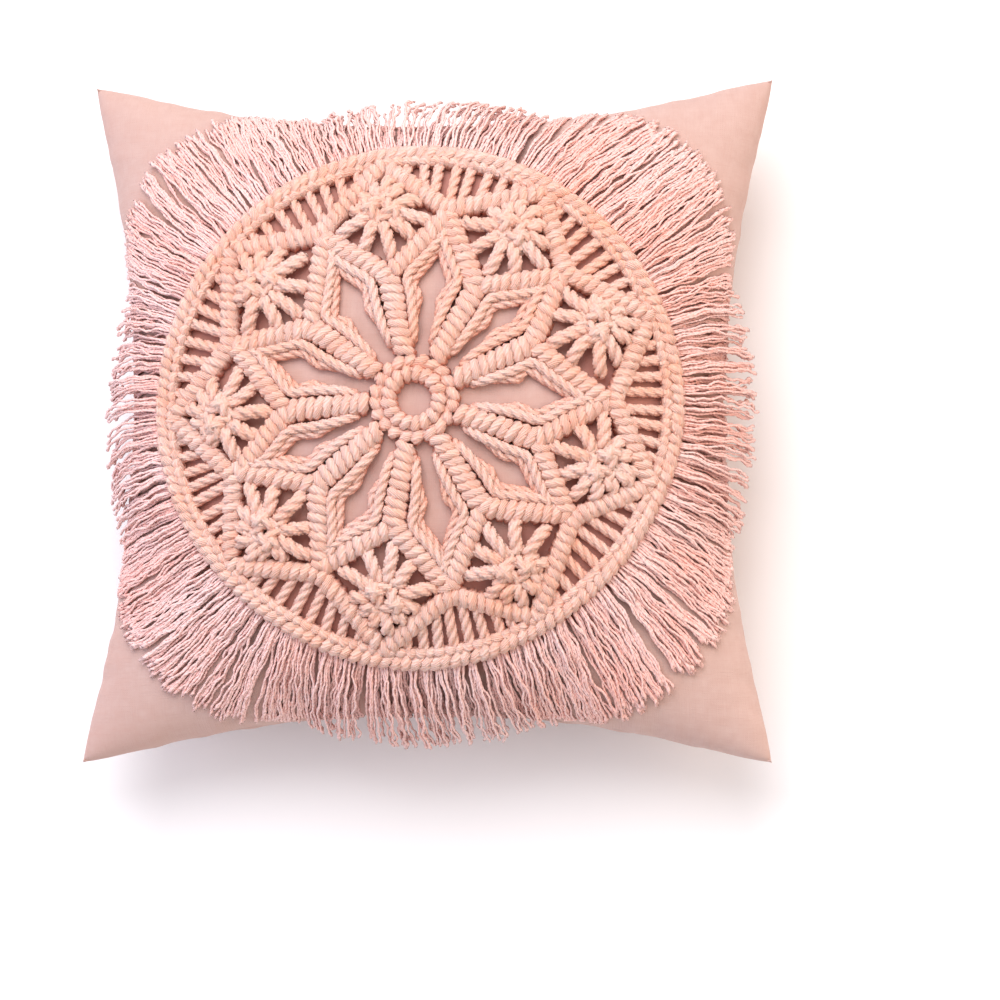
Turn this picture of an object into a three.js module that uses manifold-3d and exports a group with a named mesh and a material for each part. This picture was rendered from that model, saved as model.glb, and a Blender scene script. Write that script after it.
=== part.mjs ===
// A square floor cushion: a zipless envelope cover over a fibre-filled insert, with a round panel of
// knotted cord (a nine-pointed star in a ring) laid on the front and a long yarn fringe around it.
// Millimetres and degrees, +Z up. The cushion lies on its back, and the origin is on the floor below
// its middle. Run with the npm packages three and manifold-3d.

import * as THREE from 'three';
import { mergeVertices } from 'three/addons/utils/BufferGeometryUtils.js';
import Module from 'manifold-3d';

const wasm = await Module();
wasm.setup();

// ---------------------------------------------------------------- cover and insert
const coverHalf = 220; // middle of the filled cover to a corner of its seam, along X and along Y
const edgePull = 35; // how far the middle of a side is pulled in between its corners
const seamHeight = 62; // side seam above the floor
const crownRise = 80; // middle of the front above the seam
const bellyDrop = 75; // middle of the back below the seam, before the floor flattens it
const clothThick = 1; // one layer of the cover's cotton cloth
const touchGap = 0.3; // between pieces that touch
const layerGap = 0.6; // between one layer of cloth and the next
const plyInset = 3; // a layer's edge moves in this much for each millimetre that it lies deeper
const rimEdge = 0.4; // thickness left at the very edge of a layer
const hemWidth = 26; // folded hem on the free edge of the lower back panel
const hemStep = 0.5; // over which the hem's second layer starts
const tuckLength = 90; // how far the upper back panel runs on under the lower one
const jogLength = 1; // over which the upper back panel steps in under the lower one
const insertClothThick = 1; // cloth of the insert's own cover
const insertGap = 2; // room between the cover and the insert's own cover
const fillGap = 3; // between the insert's cloth and the block that stands for its fill
const latticeSteps = 12; // facets across the cover
const linesApart = 0.02; // a lattice line nearer than this to an edge of a panel gives way to it
const coordTurns = 30; // rounds in working out where a point of the plan lies on the cover

// ---------------------------------------------------------------- knotted panel
const sectorCount = 9; // points of the star
const firstTipAngle = 20.8; // of the first point, counter-clockwise from +X
const spokeLead = 2.3; // how far the spokes run ahead of the points
// the hand-tied panel is not quite even: each point, side point and spoke is off by a little
const tipDrift = [0, -1.2, -1.6, 0, 2.1, 0.5, 1.7, -1.2, -0.4];
const sideDrift = [-0.8, 0.5, 0.5, -0.8, 2.1, 1.2, 0.2, 0, 2.5];
const spokeDrift = [2.4, -1.1, -0.6, 1.9, 1.9, -1.6, -2.1, -0.6, -1.6];

const ringMargin = 24; // middle of a side of the cover to the middle line of the outer ring
const ringWidth = 11; // outer ring, across
const ringHeight = 12;
const ringSteps = 45; // facets around the outer ring
const eyeRadius = 11; // hole in the middle of the centre ring
const eyeBand = 15.4; // width of the centre ring
const eyeHeight = 11;
const eyeSteps = 27; // facets around the centre ring
const knotWall = 2.2; // thickness of the knots over the cords that they are tied on
const shoulderShare = 0.6; // height at which the knots start to round over, as a share of the ring's
const coreClear = 0.4; // between those cords and the knots
const coreLift = 1.3; // underside of the carrying cords above the cover
const threadWidth = 1.2; // sewing thread that tacks the panel to the cover
const seatLift = 1.2; // underside of the knotted panel above the cover
const ribHeight = 11; // spokes, arms and roof bars
const crownShare = 0.6; // width of a bar's top as a share of its foot
const spokeWidth = 16.5;
const armWidth = 13;
const roofWidth = 12;
const tipInset = 3; // middle lines of the roof bars meet this far inside their outer end
const leafCordWidth = 7; // loose cord along the spokes and under the arms
const leafCordHeight = 7;
const spokeRun = 49; // radial run of the spokes, for the shares of the room between the rings
const armRun = 43; // radial run of the arms
const roofRun = 35; // radial run of the roof bars
const leafCordStart = 16; // from the centre ring to where the loose cords begin
const flowerCore = 10; // radius of the crossing in the middle of a flower knot
const flowerShift = 1; // middle of a flower knot outside the side points
const flowerLobes = 9; // cords that radiate from a flower knot
const flowerHeight = 11;
const lobeWidth = 6.5;
const fanCordsPerSector = 10; // cords between one point of the star and the next
const fanCordWidth = 7;
const fanHeight = 7;
const fanStrip = 2; // band of turns that joins the fan cords where they meet the outer ring
const fanChord = 36; // longest straight stretch along a fan cord before it bends with the cover
const fanShortest = 1.5; // a fan cord shorter than this is hidden under the star
const barSteps = 2; // facets along a bar

// ---------------------------------------------------------------- fringe
const strandLength = 80; // of the fringe's yarns, from the outer ring
const fringeThick = 5; // thickness of the layer of yarns
const fringeChord = 31; // longest straight stretch of a fringe facet, which cuts a corner of the cover
const yarnBend = 0.03; // how fast a level, free yarn bends down, in radians per millimetre
const yarnStep = 0.25; // step along a yarn's path
const fringeClear = 0.6; // from the outer ring to the fringe
const fringeAlong = 5; // facets along the yarns
const fringeAround = 7; // facets around each part of the fringe

// ---------------------------------------------------------------- worked out from the above
const frontSeamZ = seamHeight + touchGap / 2;
const backSeamZ = seamHeight - touchGap / 2;
const tuckDepth = 2 * clothThick + layerGap;
const insertDepth = tuckDepth + clothThick + insertGap;
const fillDepth = insertDepth + insertClothThick + fillGap;
const ringRadius = coverHalf - edgePull - ringMargin;
const ringInner = ringRadius - ringWidth / 2;
const ringOuter = ringRadius + ringWidth / 2;
const eyeOuter = eyeRadius + eyeBand;
const fanOuter = ringInner * Math.cos(Math.PI / ringSteps) - touchGap;
const fanInner = fanOuter - fanStrip;
const roofOuter = fanInner - touchGap;
const runShare = (roofOuter - eyeOuter - touchGap) / (spokeRun + armRun + roofRun);
const forkRadius = eyeOuter + touchGap + spokeRun * runShare;
const sideRadius = forkRadius + armRun * runShare;
const tipRadius = roofOuter - tipInset;
const flowerRadius = sideRadius + flowerShift;
// the cover is sharpest at the middle of its sides, where the yarns' facets need the most room
const sideCurve = crownRise ** 2 / (coverHalf - edgePull);
const fringeLift = touchGap + fringeChord ** 2 / (8 * sideCurve);
const sectorTurn = 360 / sectorCount;

// ---------------------------------------------------------------- materials
const coverCloth = { color: '#dcaea6', roughness: 0.92, metalness: 0 };
const knottedCord = { color: '#ebc3b4', roughness: 0.9, metalness: 0 };
const fringeYarn = { color: '#e3b3a9', roughness: 0.92, metalness: 0 };
const sewingThread = { color: '#d9a79c', roughness: 0.7, metalness: 0 };
const insertCloth = { color: '#efe9e0', roughness: 0.9, metalness: 0 };
const fibreFill = { color: '#f7f5f1', roughness: 1, metalness: 0 };

const cushion = new THREE.Group();

function addPiece(name, geometry, finish) {
	const piece = new THREE.Mesh(geometry, new THREE.MeshStandardMaterial(finish));
	piece.name = name;
	cushion.add(piece);
}

// ---------------------------------------------------------------- solids and their joins

function bareGeometry(geometry) {
	geometry.deleteAttribute('normal');
	geometry.deleteAttribute('uv');
	return mergeVertices(geometry, 1e-4);
}

function toSolid(geometry) {
	const bare = bareGeometry(geometry);
	const vertProperties = new Float32Array(bare.getAttribute('position').array);
	const triVerts = new Uint32Array(bare.getIndex().array);
	return new wasm.Manifold(new wasm.Mesh({ numProp: 3, vertProperties, triVerts }));
}

function fromSolid(solid) {
	const mesh = solid.getMesh();
	const geometry = new THREE.BufferGeometry();
	geometry.setAttribute('position', new THREE.BufferAttribute(new Float32Array(mesh.vertProperties), 3));
	geometry.setIndex(new THREE.BufferAttribute(new Uint32Array(mesh.triVerts), 1));
	geometry.computeVertexNormals();
	return geometry;
}

function joined(geometries) {
	let whole = toSolid(geometries[0]);
	for (const geometry of geometries.slice(1)) {
		whole = whole.add(toSolid(geometry));
	}
	return whole;
}

// ---------------------------------------------------------------- the pillow's shape

function pillowPlan(u, v, half) {
	const pull = edgePull / coverHalf;
	return new THREE.Vector2(
		half * u * (1 - pull * (1 - v * v) * u * u),
		half * v * (1 - pull * (1 - u * u) * v * v),
	);
}

function fullness(u, v) {
	return Math.sqrt(Math.max(0, 1 - u * u) * Math.max(0, 1 - v * v));
}

// a point of the front, this deep under the outer face, with this much height at the rim
function frontPoint(u, v, depth, rim) {
	const plan = pillowPlan(u, v, coverHalf - plyInset * depth);
	const rise = (crownRise - depth - rim) * fullness(u, v);
	return new THREE.Vector3(plan.x, plan.y, frontSeamZ + rim + rise);
}

// the same on the back, which the floor holds up
function backPoint(u, v, depth, rim) {
	const plan = pillowPlan(u, v, coverHalf - plyInset * depth);
	const drop = (bellyDrop - depth - rim) * fullness(u, v);
	return new THREE.Vector3(plan.x, plan.y, Math.max(depth, backSeamZ - rim - drop));
}

// where a point of the plan lies on the cover, from -1 to 1 each way; 1 is on the seam or past it
function coverCoords(x, y) {
	const pull = edgePull / coverHalf;
	let u = x / coverHalf;
	let v = y / coverHalf;
	for (let turn = 0; turn < coordTurns; turn += 1) {
		const nextU = x / (coverHalf * (1 - pull * (1 - v * v) * u * u));
		const nextV = y / (coverHalf * (1 - pull * (1 - u * u) * v * v));
		u = THREE.MathUtils.clamp(nextU, -1, 1);
		v = THREE.MathUtils.clamp(nextV, -1, 1);
	}
	return [u, v];
}

// height of the outer face of the front over a point of the plan
function domeHeight(x, y) {
	const [u, v] = coverCoords(x, y);
	return frontSeamZ + rimEdge + (crownRise - rimEdge) * fullness(u, v);
}

// lays flat work on the front of the cover
function draped(geometry, lift) {
	const place = geometry.getAttribute('position');
	for (let i = 0; i < place.count; i += 1) {
		const ground = domeHeight(place.getX(i), place.getY(i));
		place.setZ(i, place.getZ(i) + ground + lift);
	}
	geometry.computeVertexNormals();
	return geometry;
}

// lattice lines from -1 to 1, closer together towards the edges
function latticeLines(steps) {
	const lines = [];
	for (let i = 0; i <= steps; i += 1) {
		lines.push(Math.sin(Math.PI * (i / steps - 0.5)));
	}
	return lines;
}

// a closed slab between two bent lattices
function latticeSlab(uLines, vLines, upper, lower) {
	const uSteps = uLines.length - 1;
	const vSteps = vLines.length - 1;
	const slab = bareGeometry(new THREE.BoxGeometry(1, 1, 1, uSteps, vSteps, 1));
	const place = slab.getAttribute('position');
	for (let i = 0; i < place.count; i += 1) {
		const u = uLines[Math.round((place.getX(i) + 0.5) * uSteps)];
		const v = vLines[Math.round((place.getY(i) + 0.5) * vSteps)];
		const point = place.getZ(i) > 0 ? upper(u, v) : lower(u, v);
		place.setXYZ(i, point.x, point.y, point.z);
	}
	slab.computeVertexNormals();
	return slab;
}

// ---------------------------------------------------------------- cover and insert

function addFront(name, depth, thick, finish) {
	const lines = latticeLines(latticeSteps);
	const outer = (u, v) => frontPoint(u, v, depth, rimEdge);
	const inner = (u, v) => frontPoint(u, v, depth + thick, 0);
	addPiece(name, latticeSlab(lines, lines, outer, inner), finish);
}

function addBack(name, vLines, outerDepth, innerDepth, finish) {
	const outer = (u, v) => backPoint(u, v, outerDepth(v), rimEdge);
	const inner = (u, v) => backPoint(u, v, innerDepth(v), 0);
	addPiece(name, latticeSlab(latticeLines(latticeSteps), vLines, inner, outer), finish);
}

// The lower panel's hemmed edge lies over the upper panel, which steps in and runs on under it. Both
// panels use the same lattice lines, so that their faces stay parallel.
function addBackPanels() {
	const hemStart = -hemWidth / coverHalf;
	const hemFull = hemStart + hemStep / coverHalf;
	const tuckEnd = -tuckLength / coverHalf;
	const jogStart = touchGap / coverHalf;
	const jogEnd = jogStart + jogLength / coverHalf;
	const all = latticeLines(latticeSteps).filter((v) => Math.abs(v) > 1e-6);
	const special = [tuckEnd, hemStart, hemFull, 0, jogStart, jogEnd];
	const near = (v) => special.some((line) => Math.abs(line - v) < linesApart);
	const lines = all.filter((v) => !near(v)).concat(special).sort((a, b) => a - b);
	const lowerLines = lines.filter((v) => v <= 0);
	const upperLines = lines.filter((v) => v >= tuckEnd && v !== 0);
	const upperDepth = (v) => (v > jogStart ? 0 : tuckDepth);
	addBack('back_panel_lower', lowerLines, () => 0,
		(v) => (v > hemStart ? 2 : 1) * clothThick, coverCloth);
	addBack('back_panel_upper', upperLines, upperDepth,
		(v) => upperDepth(v) + clothThick, coverCloth);
}

function addInsert() {
	const lines = latticeLines(latticeSteps);
	addFront('insert_cover_top', insertDepth, insertClothThick, insertCloth);
	addBack('insert_cover_bottom', lines, () => insertDepth,
		() => insertDepth + insertClothThick, insertCloth);
	const top = (u, v) => frontPoint(u, v, fillDepth, rimEdge);
	const bottom = (u, v) => backPoint(u, v, fillDepth, rimEdge);
	addPiece('insert_fill', latticeSlab(lines, lines, top, bottom), fibreFill);
}

// ---------------------------------------------------------------- the star's points in plan

function polar(radius, degrees) {
	const angle = THREE.MathUtils.degToRad(degrees);
	return new THREE.Vector3(radius * Math.cos(angle), radius * Math.sin(angle), 0);
}

function turned(list, k) {
	const wrapped = (k + sectorCount) % sectorCount;
	return list[wrapped] + sectorTurn * k;
}

const tipAngle = (k) => firstTipAngle + turned(tipDrift, k);
const sideAngle = (k) => firstTipAngle - sectorTurn / 2 + turned(sideDrift, k);
const spokeAngle = (k) => firstTipAngle + spokeLead + turned(spokeDrift, k);
const betweenSpokes = (k) => (spokeAngle(k - 1) + spokeAngle(k)) / 2;

// angle that leaves half a gap at this radius
const gapAngle = (radius) => THREE.MathUtils.radToDeg(touchGap / 2 / radius);

// a bar with sloping sides from one point of the plan to another
function bar(from, to, width, height) {
	const along = new THREE.Vector3().subVectors(to, from);
	const length = along.length();
	along.normalize();
	const up = new THREE.Vector3(0, 0, 1);
	const across = new THREE.Vector3().crossVectors(up, along);
	const foot = width / 2;
	const top = foot * crownShare;
	const section = new THREE.Shape([
		new THREE.Vector2(-foot, 0),
		new THREE.Vector2(foot, 0),
		new THREE.Vector2(top, height),
		new THREE.Vector2(-top, height),
	]);
	const solid = new THREE.ExtrudeGeometry(section, { depth: length, steps: barSteps, bevelEnabled: false });
	solid.applyMatrix4(new THREE.Matrix4().makeBasis(across, up, along).setPosition(from));
	return solid;
}

// an upright block over an outline of the plan, taller than any bar
function cutter(points) {
	const outline = new THREE.Shape(points.map((point) => new THREE.Vector2(point.x, point.y)));
	const block = new THREE.ExtrudeGeometry(outline, { depth: ribHeight * 3, bevelEnabled: false });
	block.translate(0, 0, -ribHeight);
	return toSolid(block);
}

function arcPoints(radius, from, to, steps) {
	const points = [];
	for (let i = 0; i <= steps; i += 1) {
		points.push(polar(radius, THREE.MathUtils.lerp(from, to, i / steps)));
	}
	return points;
}

// ---------------------------------------------------------------- spokes, arms and roof bars

// the room of one petal rib: between its neighbours, from the centre ring to the side points
function petalRoom(k) {
	const start = eyeOuter + touchGap;
	const end = sideRadius - touchGap / 2;
	const lowAt = (radius, angle) => polar(radius, angle + gapAngle(radius));
	const highAt = (radius, angle) => polar(radius, angle - gapAngle(radius));
	const endTurn = gapAngle(end);
	const startTurn = gapAngle(start);
	return cutter([
		...arcPoints(start, betweenSpokes(k + 1) - startTurn, betweenSpokes(k) + startTurn, 5),
		lowAt(forkRadius, betweenSpokes(k)),
		...arcPoints(end, sideAngle(k) + endTurn, sideAngle(k + 1) - endTurn, 4),
		highAt(forkRadius, betweenSpokes(k + 1)),
	]);
}

// the room of one star rib: from the side points to the fans' band
function starRoom(k) {
	const start = sideRadius + touchGap / 2;
	const turn = gapAngle(start);
	return cutter([
		...arcPoints(start, sideAngle(k + 1) - turn, sideAngle(k) + turn, 4),
		...arcPoints(roofOuter, sideAngle(k) + turn, sideAngle(k + 1) - turn, 4),
	]);
}

// a loose cord beside a line of the plan, on its left or its right
function besideCord(from, to, distance) {
	const along = new THREE.Vector3().subVectors(to, from).normalize();
	const shift = new THREE.Vector3(-along.y, along.x, 0).multiplyScalar(distance);
	return bar(from.clone().add(shift), to.clone().add(shift), leafCordWidth, leafCordHeight);
}

function addPetalRib(k) {
	const root = polar(eyeRadius, spokeAngle(k));
	const fork = polar(forkRadius, spokeAngle(k));
	const leafStart = polar(eyeOuter + leafCordStart, spokeAngle(k));
	const left = polar(sideRadius, sideAngle(k + 1));
	const right = polar(sideRadius, sideAngle(k));
	const besideSpoke = (spokeWidth + leafCordWidth) / 2 - 1;
	const besideArm = (armWidth + leafCordWidth) / 2 - 1;
	const whole = joined([
		bar(root, fork, spokeWidth, ribHeight),
		bar(fork, left, armWidth, ribHeight),
		bar(fork, right, armWidth, ribHeight),
		besideCord(leafStart, fork, besideSpoke),
		besideCord(leafStart, fork, -besideSpoke),
		besideCord(fork, left, besideArm),
		besideCord(fork, right, -besideArm),
	]);
	const rib = fromSolid(whole.intersect(petalRoom(k)));
	addPiece(`petal_rib_${k + 1}`, draped(rib, seatLift), knottedCord);
}

function addStarRib(k) {
	const tip = polar(tipRadius, tipAngle(k));
	const left = polar(sideRadius, sideAngle(k + 1));
	const right = polar(sideRadius, sideAngle(k));
	const whole = joined([
		bar(right, tip, roofWidth, ribHeight),
		bar(tip, left, roofWidth, ribHeight),
	]);
	const rib = fromSolid(whole.intersect(starRoom(k)));
	addPiece(`star_rib_${k + 1}`, draped(rib, seatLift), knottedCord);
}

// ---------------------------------------------------------------- flower knots

// how far a ray may run before it comes within a gap of a bar
function clearReach(origin, direction, from, to, width) {
	const along = new THREE.Vector3().subVectors(to, from).normalize();
	const normal = new THREE.Vector3(-along.y, along.x, 0);
	const offset = new THREE.Vector3().subVectors(from, origin).dot(normal);
	const closing = direction.dot(normal) * Math.sign(offset);
	const room = Math.abs(offset) - width / 2 - touchGap;
	return closing > 1e-6 ? room / closing : Infinity;
}

function addFlowerKnot(k) {
	const middle = polar(flowerRadius, (tipAngle(k) + spokeAngle(k)) / 2);
	const tip = polar(tipRadius, tipAngle(k));
	const fork = polar(forkRadius, spokeAngle(k));
	const left = polar(sideRadius, sideAngle(k + 1));
	const right = polar(sideRadius, sideAngle(k));
	const outward = (tipAngle(k) + spokeAngle(k)) / 2;
	const reachAt = (degrees) => {
		const ray = polar(1, degrees);
		const frame = [[fork, left, armWidth], [fork, right, armWidth], [tip, left, roofWidth],
			[tip, right, roofWidth]];
		return Math.min(...frame.map(([from, to, width]) => clearReach(middle, ray, from, to, width)));
	};
	const outline = [];
	const lobeTurn = 360 / flowerLobes;
	for (let lobe = 0; lobe < flowerLobes; lobe += 1) {
		const axis = outward + lobe * lobeTurn;
		const valley = Math.min(flowerCore, reachAt(axis - lobeTurn / 2));
		outline.push(polar(valley, axis - lobeTurn / 2));
		const farthest = reachAt(axis);
		const half = THREE.MathUtils.radToDeg(Math.atan(lobeWidth / 2 / Math.max(farthest, flowerCore)));
		for (const side of [axis - half, axis + half]) {
			outline.push(polar(reachAt(side), side));
		}
	}
	const shape = new THREE.Shape(outline.map((p) => new THREE.Vector2(p.x + middle.x, p.y + middle.y)));
	const knot = new THREE.ExtrudeGeometry(shape, { depth: flowerHeight, bevelEnabled: false });
	addPiece(`flower_knot_${k + 1}`, draped(bareGeometry(knot), seatLift), knottedCord);
}

// ---------------------------------------------------------------- fans between the star's points

// radius where a ray leaves the outer side of a roof bar, with a gap
function roofEdge(from, to, degrees) {
	const along = new THREE.Vector3().subVectors(to, from).normalize();
	const normal = new THREE.Vector3(-along.y, along.x, 0);
	const distance = from.dot(normal);
	const outside = Math.abs(distance) + roofWidth / 2 + touchGap;
	return outside / Math.abs(polar(1, degrees).dot(normal));
}

// points along a ray, close enough together to bend with the cover
function radialPoints(from, to, degrees) {
	const stretches = Math.ceil(Math.abs(to - from) / fanChord);
	const points = [];
	for (let i = 0; i <= stretches; i += 1) {
		points.push(polar(THREE.MathUtils.lerp(from, to, i / stretches), degrees));
	}
	return points;
}

function addFan(k) {
	const side = polar(sideRadius, sideAngle(k + 1));
	const first = polar(tipRadius, tipAngle(k));
	const last = polar(tipRadius, tipAngle(k + 1));
	const edgeAt = (degrees) => {
		const beforeSide = degrees < sideAngle(k + 1);
		return beforeSide ? roofEdge(first, side, degrees) : roofEdge(side, last, degrees);
	};
	const low = tipAngle(k) + gapAngle(fanOuter);
	const high = tipAngle(k + 1) - gapAngle(fanOuter);
	const pitch = (high - low) / fanCordsPerSector;
	const half = THREE.MathUtils.radToDeg(fanCordWidth / 2 / fanOuter);
	const outline = arcPoints(fanOuter, low, high, fanCordsPerSector);
	outline.push(polar(fanInner, high));
	for (let cord = fanCordsPerSector - 1; cord >= 0; cord -= 1) {
		const axis = low + (cord + 0.5) * pitch;
		const corners = [axis + half, axis - half];
		const shortest = Math.min(...corners.map((corner) => fanInner - edgeAt(corner)));
		if (shortest < fanShortest) {
			continue;
		}
		outline.push(...radialPoints(fanInner, edgeAt(corners[0]), corners[0]));
		outline.push(...radialPoints(edgeAt(corners[1]), fanInner, corners[1]));
	}
	outline.push(polar(fanInner, low));
	const shape = new THREE.Shape(outline.map((p) => new THREE.Vector2(p.x, p.y)));
	const fan = new THREE.ExtrudeGeometry(shape, { depth: fanHeight, bevelEnabled: false });
	addPiece(`fan_cords_${k + 1}`, draped(bareGeometry(fan), seatLift), knottedCord);
}

// ---------------------------------------------------------------- rings

// a ring turned from a closed profile of [radius, height] points
function ring(profile, steps) {
	const points = profile.concat([profile[0]]).map(([radius, height]) => new THREE.Vector2(radius, height));
	const turnedRing = new THREE.LatheGeometry(points, steps);
	turnedRing.rotateX(Math.PI / 2);
	return bareGeometry(turnedRing);
}

// knots over a ring of carrying cord: a rounded sleeve that is open underneath
function knotSleeve(inner, outer, height) {
	const shoulder = height * shoulderShare;
	const slope = knotWall;
	return [
		[outer, 0],
		[outer, shoulder],
		[outer - slope, height],
		[inner + slope, height],
		[inner, shoulder],
		[inner, 0],
		[inner + knotWall, 0],
		[inner + knotWall, height - knotWall],
		[outer - knotWall, height - knotWall],
		[outer - knotWall, 0],
	];
}

function coreProfile(inner, outer, height) {
	const side = knotWall + coreClear;
	const top = height - knotWall - coreClear;
	return [
		[outer - side, coreLift],
		[outer - side, top],
		[inner + side, top],
		[inner + side, coreLift],
	];
}

function threadProfile(radius) {
	const half = threadWidth / 2;
	return [
		[radius + half, 0],
		[radius + half, coreLift - coreClear],
		[radius - half, coreLift - coreClear],
		[radius - half, 0],
	];
}

function addRing(name, inner, outer, height, steps) {
	const middle = (inner + outer) / 2;
	addPiece(`${name}_core`, draped(ring(coreProfile(inner, outer, height), steps), seatLift), knottedCord);
	addPiece(`${name}_knots`, draped(ring(knotSleeve(inner, outer, height), steps), seatLift), knottedCord);
	addPiece(`${name}_tacking`, draped(ring(threadProfile(middle), steps), seatLift), sewingThread);
}

// ---------------------------------------------------------------- fringe

// A yarn's path in the upright plane at this angle. It leaves the ring along the cover, bends down under
// its own weight, and never goes under the cover's face.
function yarnPath(degrees) {
	const ground = (radius) => {
		const point = polar(radius, degrees);
		const pastSeam = Math.max(...coverCoords(point.x, point.y).map(Math.abs)) >= 1;
		return pastSeam ? 0 : domeHeight(point.x, point.y);
	};
	const start = ringOuter + fringeClear;
	let here = new THREE.Vector2(start, ground(start));
	let dive = Math.atan(ground(start) - ground(start + 1));
	const path = [here];
	const stepsApart = Math.round(strandLength / fringeAlong / yarnStep);
	for (let step = 1; step <= stepsApart * fringeAlong; step += 1) {
		dive += yarnBend * yarnStep * Math.cos(dive);
		const next = new THREE.Vector2(here.x + yarnStep * Math.cos(dive), here.y - yarnStep * Math.sin(dive));
		if (next.y < ground(next.x)) {
			next.y = ground(next.x);
			dive = Math.atan2(here.y - next.y, next.x - here.x);
		}
		here = next;
		if (step % stepsApart === 0) {
			path.push(here);
		}
	}
	return path;
}

function addFringe(k) {
	const low = sideAngle(k) + gapAngle(ringOuter);
	const high = sideAngle(k + 1) - gapAngle(ringOuter);
	const angleAt = (around) => THREE.MathUtils.lerp(low, high, around / fringeAround);
	const aroundLines = Array.from({ length: fringeAround + 1 }, (_, i) => i);
	const alongLines = Array.from({ length: fringeAlong + 1 }, (_, i) => i);
	const paths = aroundLines.map((around) => yarnPath(angleAt(around)));
	const pointAt = (around, along, lift) => {
		const path = paths[around];
		const here = path[along];
		const before = path[Math.max(along - 1, 0)];
		const after = path[Math.min(along + 1, fringeAlong)];
		const run = after.clone().sub(before).normalize();
		const point = polar(here.x - run.y * lift, angleAt(around));
		point.z = here.y + run.x * lift;
		return point;
	};
	const upper = (along, around) => pointAt(around, along, fringeLift + fringeThick);
	const lower = (along, around) => pointAt(around, along, fringeLift);
	addPiece(`fringe_${k + 1}`, latticeSlab(alongLines, aroundLines, upper, lower), fringeYarn);
}

// ---------------------------------------------------------------- the whole cushion

addFront('front_panel', 0, clothThick, coverCloth);
addBackPanels();
addInsert();
addRing('centre_ring', eyeRadius, eyeOuter, eyeHeight, eyeSteps);
addRing('outer_ring', ringInner, ringOuter, ringHeight, ringSteps);
for (let k = 0; k < sectorCount; k += 1) {
	addPetalRib(k);
	addStarRib(k);
	addFlowerKnot(k);
	addFan(k);
	addFringe(k);
}

export default cushion;
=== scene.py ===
"""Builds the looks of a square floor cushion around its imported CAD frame.

The cushion lies on its back: a woven cotton cover with an envelope opening, an insert, a round panel of
knotted cord (a nine-pointed star in a ring) on the front, and a long yarn fringe. Lengths are in metres.
"""
import math
import random

import bmesh
import bpy
import numpy as np
from mathutils import Matrix, Vector
from mathutils.bvhtree import BVHTree


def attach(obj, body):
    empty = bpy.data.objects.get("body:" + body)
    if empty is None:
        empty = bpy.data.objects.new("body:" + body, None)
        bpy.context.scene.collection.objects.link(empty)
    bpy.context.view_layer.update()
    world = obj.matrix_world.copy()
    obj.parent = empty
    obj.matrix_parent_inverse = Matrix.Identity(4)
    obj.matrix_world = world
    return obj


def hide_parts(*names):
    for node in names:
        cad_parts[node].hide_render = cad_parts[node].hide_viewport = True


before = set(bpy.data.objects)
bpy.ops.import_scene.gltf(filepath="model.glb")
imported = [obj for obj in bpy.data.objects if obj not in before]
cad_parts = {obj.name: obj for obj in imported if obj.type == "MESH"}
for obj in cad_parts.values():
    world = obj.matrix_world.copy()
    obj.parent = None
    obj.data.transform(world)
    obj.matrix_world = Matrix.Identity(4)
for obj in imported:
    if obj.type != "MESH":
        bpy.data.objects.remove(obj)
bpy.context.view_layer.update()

bl_info = {
    "name": "Knotted Floor Cushion",
    "version": (1, 0, 0),
    "blender": (4, 5, 0),
    "location": "View3D > Sidebar > Cushion",
    "description": "Builds a fringed floor cushion with a knotted star panel",
    "category": "Object",
}

SECTORS = 9
FIRST_TIP = 20.8
SPOKE_LEAD = 2.3
TIP_DRIFT = (0, -1.2, -1.6, 0, 2.1, 0.5, 1.7, -1.2, -0.4)
SIDE_DRIFT = (-0.8, 0.5, 0.5, -0.8, 2.1, 1.2, 0.2, 0, 2.5)
SPOKE_DRIFT = (2.4, -1.1, -0.6, 1.9, 1.9, -1.6, -2.1, -0.6, -1.6)

RING_OUTER = 0.1665
EYE_OUTER = 0.0264
FORK_RADIUS = 0.078
SIDE_RADIUS = 0.1178
TIP_RADIUS = 0.1495
FLOWER_RADIUS = 0.1188
ARM_WIDTH = 0.0148
ROOF_WIDTH = 0.0136
RIB_HEIGHT = 0.0112
HITCH_FOOT = 0.0012  # underside of a hitch above the cover
FOOT_TURNS = (-30, 210)  # where round a bar a hitch ends, in degrees

LATTICE_CELLS = 84
CORNER_TURN = 0.024  # share by which a corner is turned in
CORNER_REACH = 13  # how soon that starts; higher is nearer to the corner
SETTLE_FRAMES = 22
SETTLE_CAP = 0.011  # furthest that the cloth may move as it settles
HELD_REACH = 0.182  # from the middle to where the knotted panel lets the front go
HELD_FADE = 0.02
INSERT_CLOTH = 0.0006
STITCH_PITCH = 0.0031
STITCH_RADIUS = 0.00036
UNDERSIDE = -0.0001  # as low as a stitch may lie
VIEW_AIM = (0.0451, -0.0505, 0.062)
VIEW_ROLL = 0.51
SHELL = {}


# ---------------------------------------------------------------- settings


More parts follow.
